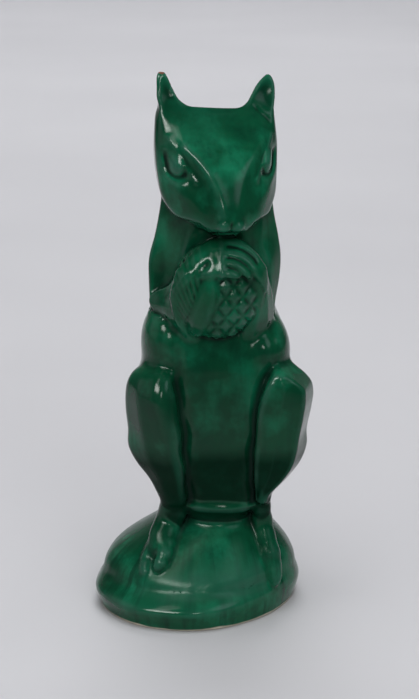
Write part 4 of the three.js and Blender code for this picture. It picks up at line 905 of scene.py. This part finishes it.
def glaze_material():
    n = Nodes(bpy.data.materials.new("green_glaze"))
    place = n.place()
    fine, broad = (n.add("ShaderNodeAttribute", attribute_name=name).outputs["Fac"] for name in curves)
    x, y, height = n.add("ShaderNodeSeparateXYZ", {0: place}).outputs
    facing = n.add("ShaderNodeSeparateXYZ", {0: n.add("ShaderNodeNewGeometry").outputs["Normal"]}).outputs[2]
    mottle = n.noise(place, 55, 4)
    runs = n.noise(n.vector("MULTIPLY", place, RUN_SCALE)[0], 1, 2)
    blotch = n.ramp(n.noise(place, 62, 5, 0.62), 0.5, 0.7)
    turn = n.math("ARCTAN2", n.math("SUBTRACT", x, MOUND_PLACE[0]), n.math("SUBTRACT", MOUND_PLACE[1], y))
    unrolled = {0: n.times(turn, STREAK_ROUND), 1: n.times(height, STREAK_UP)}
    streaks = n.ramp(n.noise(n.add("ShaderNodeCombineXYZ", unrolled).outputs[0], 1), 0.5, 0.66)
    above_rim = n.ramp(height, 0.01, 0.036)
    # Painted shade on steep and downward-facing faces above the rim, up to the chest
    steep_shade = n.times(n.ramp(facing, 0.42, -0.12), above_rim, n.ramp(height, 0.13, 0.095))
    shaded_from = n.plus(height, n.times(n.noise(place, 60, 2), 0.008))
    # Painted shade on downward-facing faces below about 70 mm, above the rim
    under_shade = n.times(n.ramp(facing, 0, -0.11), above_rim, n.ramp(shaded_from, 0.073, 0.066))
    crown = n.ramp(n.plus(height, n.times(mottle, 0.012)), 0.19, 0.201)
    # Glaze pooled in fine hollows, plus painted shade in broad hollows
    pooled_and_shaded = n.math("MAXIMUM", n.ramp(fine, -0.02, -0.3), n.times(n.ramp(broad, -0.05, -0.8), 0.85))
    thin = n.times(n.ramp(fine, 0.05, 0.2), n.ramp(mottle, 0.3, 0.6))
    layers = [
        (n.ramp(mottle, 0.48, 0.78), 1, MOTTLE),
        (n.ramp(runs, 0.5, 0.7), 0.35, RUN),
        (blotch, 0.7, STREAK),
        (n.times(streaks, n.ramp(height, 0.036, 0.024)), 0.75, STREAK),
        (steep_shade, 0.4, STEEP_SHADE),
        (under_shade, 0.75, UNDER_SHADE),
        (crown, 0.55, CROWN_DARK),
        (pooled_and_shaded, 0.88, POOL_AND_SHADE),
        # Painted light on broad convex bulges
        (n.ramp(broad, 0.6, 1.9), 0.7, CONVEX_LIGHT),
        (thin, 0.55, THIN),
    ]
    for eye in EYE_PLACES:
        # Painted light on each eyeball, round its middle
        layers.append((n.ramp(n.vector("DISTANCE", place, eye)[1], 0.0042, 0.0016), 0.6, EYEBALL_LIGHT))
    colour = n.mix(n.ramp(n.noise(place, 16), 0.35, 0.68), CLOUD_DARK, CLOUD_LIGHT)
    for factor, strength, tint in layers:
        colour = n.mix(n.times(factor, strength), colour, tint)
    foot_line = n.math("SUBTRACT", height, n.times(n.noise(place, 45), 0.0022))
    bare_edge = n.ramp(foot_line, 0.0001, -0.0004)
    chip_at = n.vector("DISTANCE", place, CHIP_PLACE)[1]
    chip = n.ramp(n.plus(chip_at, n.times(n.noise(place, 700, 2), 0.0012)), 0.0022, 0.0019)
    colour = n.mix(bare_edge, colour, n.mix(n.noise(place, 300, 4), *BARE_CLAY))
    colour = n.mix(chip, colour, n.mix(n.noise(place, 900), *CHIP_CLAY))
    n.set("Base Color", colour)
    bare = n.math("MAXIMUM", bare_edge, chip)
    satin = n.times(n.ramp(height, 0.04, 0.032), n.ramp(height, 0.0095, 0.0125))
    rough = n.plus(n.plus(n.times(mottle, 0.1), GLAZE_ROUGH), n.times(satin, 0.1))
    n.set("Roughness", n.math("MAXIMUM", rough, n.times(bare, 0.8)))
    n.set("IOR", GLAZE_IOR)
    dull = n.math("MAXIMUM", n.times(n.math("MAXIMUM", under_shade, pooled_and_shaded), 0.14), n.times(satin, 0.09))
    n.set("Specular IOR Level", n.math("SUBTRACT", GLAZE_SPECULAR, dull))
    ripple = n.plus(n.times(n.noise(place, 120, 2), 0.7), n.times(n.noise(place, 420, 2), 0.12))
    n.relief(0.12, 0.0008, n.plus(ripple, n.times(bare, n.noise(place, 1400), 0.6)))
    return n.owner


CORK_DARK, CORK_LIGHT = (0.3, 0.15, 0.065, 1), (0.56, 0.34, 0.17, 1)
CORK_STREAK, CORK_CELL = (0.1, 0.045, 0.02, 1), (0.2, 0.1, 0.045, 1)
CORK_STREAK_SCALE = (90, 90, 600)


def cork_material():
    n = Nodes(bpy.data.materials.new("cork"))
    place = n.place()
    grain = n.noise(place, 260, 5, 0.65)
    cork_cells = n.add("ShaderNodeTexVoronoi", {"Vector": place, "Scale": 420}).outputs["Distance"]
    streak = n.ramp(n.noise(n.vector("MULTIPLY", place, CORK_STREAK_SCALE)[0], 1), 0.58, 0.7)
    colour = n.mix(n.ramp(grain, 0.35, 0.7), CORK_DARK, CORK_LIGHT)
    colour = n.mix(n.times(streak, 0.8), colour, CORK_STREAK)
    colour = n.mix(n.times(n.ramp(cork_cells, 0.35, 0.1), 0.25), colour, CORK_CELL)
    n.set("Base Color", colour)
    n.set("Roughness", n.ramp(grain, -0.6, 1.3))
    n.relief(0.6, 0.0007, n.plus(grain, n.times(streak, -0.8)))
    return n.owner


glaze = glaze_material()
for name, number in NUMBERS.items():
    mine = quad_piece == number
    piece = skin_piece(name + "_skin", quads[mine], quad_skin[mine])
    piece.data.materials.append(glaze)
    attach(piece, "figure")
    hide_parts(name)

# The cork: a turned stopper with pits in its sides.
# Each ring has its share of the radius and of the height, and says whether it is pitted.
CORK_SIDES, CORK_BANDS, CORK_EDGE = 96, 28, 0.07
PIT_COUNT, PIT_DEEP, PIT_SEED = 46, 0.0005, 7
CORK_END = [(0.35, 0, False), (0.7, 0, False), (0.93, 0, False), (0.975, 0.025, False)]
cork_low, cork_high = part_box("cork")
cork_centre = (cork_low + cork_high) / 2
random = np.random.default_rng(PIT_SEED)
pits = [
    (random.uniform(0, 2 * math.pi), random.uniform(0.1, 0.9), random.uniform(0.02, 0.07))
    for _ in range(PIT_COUNT)
]
rings = CORK_END + [
    (1, CORK_EDGE + (1 - 2 * CORK_EDGE) * band / CORK_BANDS, True) for band in range(CORK_BANDS + 1)
]
rings += [(share, 1 - rise, pitted) for share, rise, pitted in reversed(CORK_END)]
low_radius = (cork_high.x - cork_low.x) / 2
cork_places, cork_faces = [], []
for share, rise, pitted in rings:
    for j in range(CORK_SIDES):
        turn = 2 * math.pi * j / CORK_SIDES
        radius = share * (low_radius - CORK_TAPER / 2 * MM * rise)
        for at, level, size in pits if pitted else ():
            away = math.hypot(math.remainder(turn - at, 2 * math.pi), (rise - level) * 0.9)
            radius -= PIT_DEEP * math.exp(-((away / size) ** 2))
        cork_places.append((
            cork_centre.x + radius * math.cos(turn), cork_centre.y + radius * math.sin(turn),
            cork_low.z + rise * (cork_high.z - cork_low.z),
        ))
cork_places += [(cork_centre.x, cork_centre.y, cork_low.z), (cork_centre.x, cork_centre.y, cork_high.z)]
bottom, top = len(cork_places) - 2, len(cork_places) - 1
last_ring = (len(rings) - 1) * CORK_SIDES
for j in range(CORK_SIDES):
    k = (j + 1) % CORK_SIDES
    for i in range(0, last_ring, CORK_SIDES):
        cork_faces.append((i + j, i + k, i + CORK_SIDES + k, i + CORK_SIDES + j))
    cork_faces.append((bottom, k, j))
    cork_faces.append((top, last_ring + j, last_ring + k))
cork_mesh = bpy.data.meshes.new("cork_stopper")
cork_mesh.from_pydata(cork_places, [], cork_faces)
cork_mesh.shade_smooth()
cork_mesh.materials.append(cork_material())
cork_piece = placed("cork_stopper", cork_mesh)
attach(cork_piece, "stopper")
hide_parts("cork")


# The pale floor, swept up behind the figure and darker in front of it with painted shade
FLOOR_FRONT, FLOOR_BACK, FLOOR_HALF, SWEEP_RADIUS, SWEEP_HEIGHT, SWEEP_PARTS = -2.4, 2.4, 3.2, 0.6, 2.4, 12
FLOOR_TONES = (0.6, 0.6, 0.63, 1), (0.64, 0.64, 0.67, 1)
# Painted shade on the floor in front of the figure
FLOOR_NEAR_SHADE = (0.24, 0.24, 0.25, 1)
FLOOR_ROUGH = 0.6


def floor_material():
    n = Nodes(bpy.data.materials.new("pale_floor"))
    place = n.place()
    tone = n.mix(n.ramp(n.noise(place, 3, 2), 0.3, 0.7), *FLOOR_TONES)
    ahead = n.add("ShaderNodeSeparateXYZ", {0: place}).outputs[1]
    # Painted shade on the floor from 0.14 m to 0.5 m in front of the figure
    n.set("Base Color", n.mix(n.ramp(ahead, -0.14, -0.5), tone, FLOOR_NEAR_SHADE))
    n.set("Roughness", FLOOR_ROUGH)
    return n.owner


sweep = [(FLOOR_FRONT, 0), (FLOOR_BACK, 0)]
for k in range(1, SWEEP_PARTS + 1):
    turn = math.pi / 2 * k / SWEEP_PARTS
    sweep.append((FLOOR_BACK + SWEEP_RADIUS * math.sin(turn), SWEEP_RADIUS * (1 - math.cos(turn))))
sweep.append((FLOOR_BACK + SWEEP_RADIUS, SWEEP_HEIGHT))
floor_mesh = bpy.data.meshes.new("floor")
floor_mesh.from_pydata(
    [(x, y, z) for y, z in sweep for x in (-FLOOR_HALF, FLOOR_HALF)], [],
    [(2 * i, 2 * i + 1, 2 * i + 3, 2 * i + 2) for i in range(len(sweep) - 1)],
)
floor_mesh.shade_smooth()
floor_mesh.materials.append(floor_material())
floor = placed("floor", floor_mesh)

# Soft light from overhead, on the backdrop and from the front, which the glaze doesn't mirror
for name, place, aim, size, power in (
    ("overhead", (0, -0.2, 1.75), (0, 0, 0.1), 1.3, 21),
    ("backdrop", (0, 1.7, 1.9), (0, 2, 0), 1.4, 29),
    ("front_fill", (0.2, -1.6, 0.9), (0, 0, 0.1), 1.2, 11),
):
    lamp = placed(name, bpy.data.lights.new(name, "AREA"))
    aimed(lamp, place, Vector(aim) - Vector(place))
    lamp.data.shape = "SQUARE"
    lamp.data.size, lamp.data.energy = size, power
    lamp.visible_glossy = False

# The room that the glaze mirrors: dim, with soft-edged windows (azimuth, elevation, core, faded edge, light).
# The azimuth is 0 on the camera's side and grows to its right.
WINDOWS = [
    (-54, 36, 4, 11, (15, 15, 14.5)),
    (-40, 36, 4, 11, (15, 15, 14.5)),
    (-26, 35, 4, 11, (15, 15, 14.5)),
    (-48, 50, 5, 11, (4, 4, 3.9)),
    (-50, 64, 5, 11, (2.4, 2.4, 2.3)),
    (-96, 14, 10, 30, (0.5, 0.52, 0.55)),
    (54, 34, 3, 22, (1.7, 2, 2.2)),
    (10, 23, 3, 7, (11, 11, 10.6)),
]
ROOM_GLOW = (0.07, 0.073, 0.08)
studio = Nodes(bpy.data.worlds.new("studio"))
ray = studio.add("ShaderNodeTexCoord").outputs["Generated"]
seen = ROOM_GLOW
for *angles, light in WINDOWS:
    azimuth, elevation, core, faded = (math.radians(angle) for angle in angles)
    level = math.cos(elevation)
    window = (math.sin(azimuth) * level, -math.cos(azimuth) * level, math.sin(elevation))
    soft = studio.add("ShaderNodeMapRange", {
        "Value": studio.vector("DOT_PRODUCT", ray, window)["Value"],
        "From Min": math.cos(faded), "From Max": math.cos(core),
    }, interpolation_type="SMOOTHSTEP")
    glow = {0: soft.outputs["Result"], 1: light, 2: seen}
    seen = studio.add("ShaderNodeVectorMath", glow, operation="MULTIPLY_ADD").outputs[0]
studio.put(studio.tree.nodes["Background"].inputs["Color"], seen)
bpy.context.scene.world = studio.owner
studio.owner.cycles_visibility.diffuse = False
bpy.context.scene.view_settings.view_transform = "Standard"
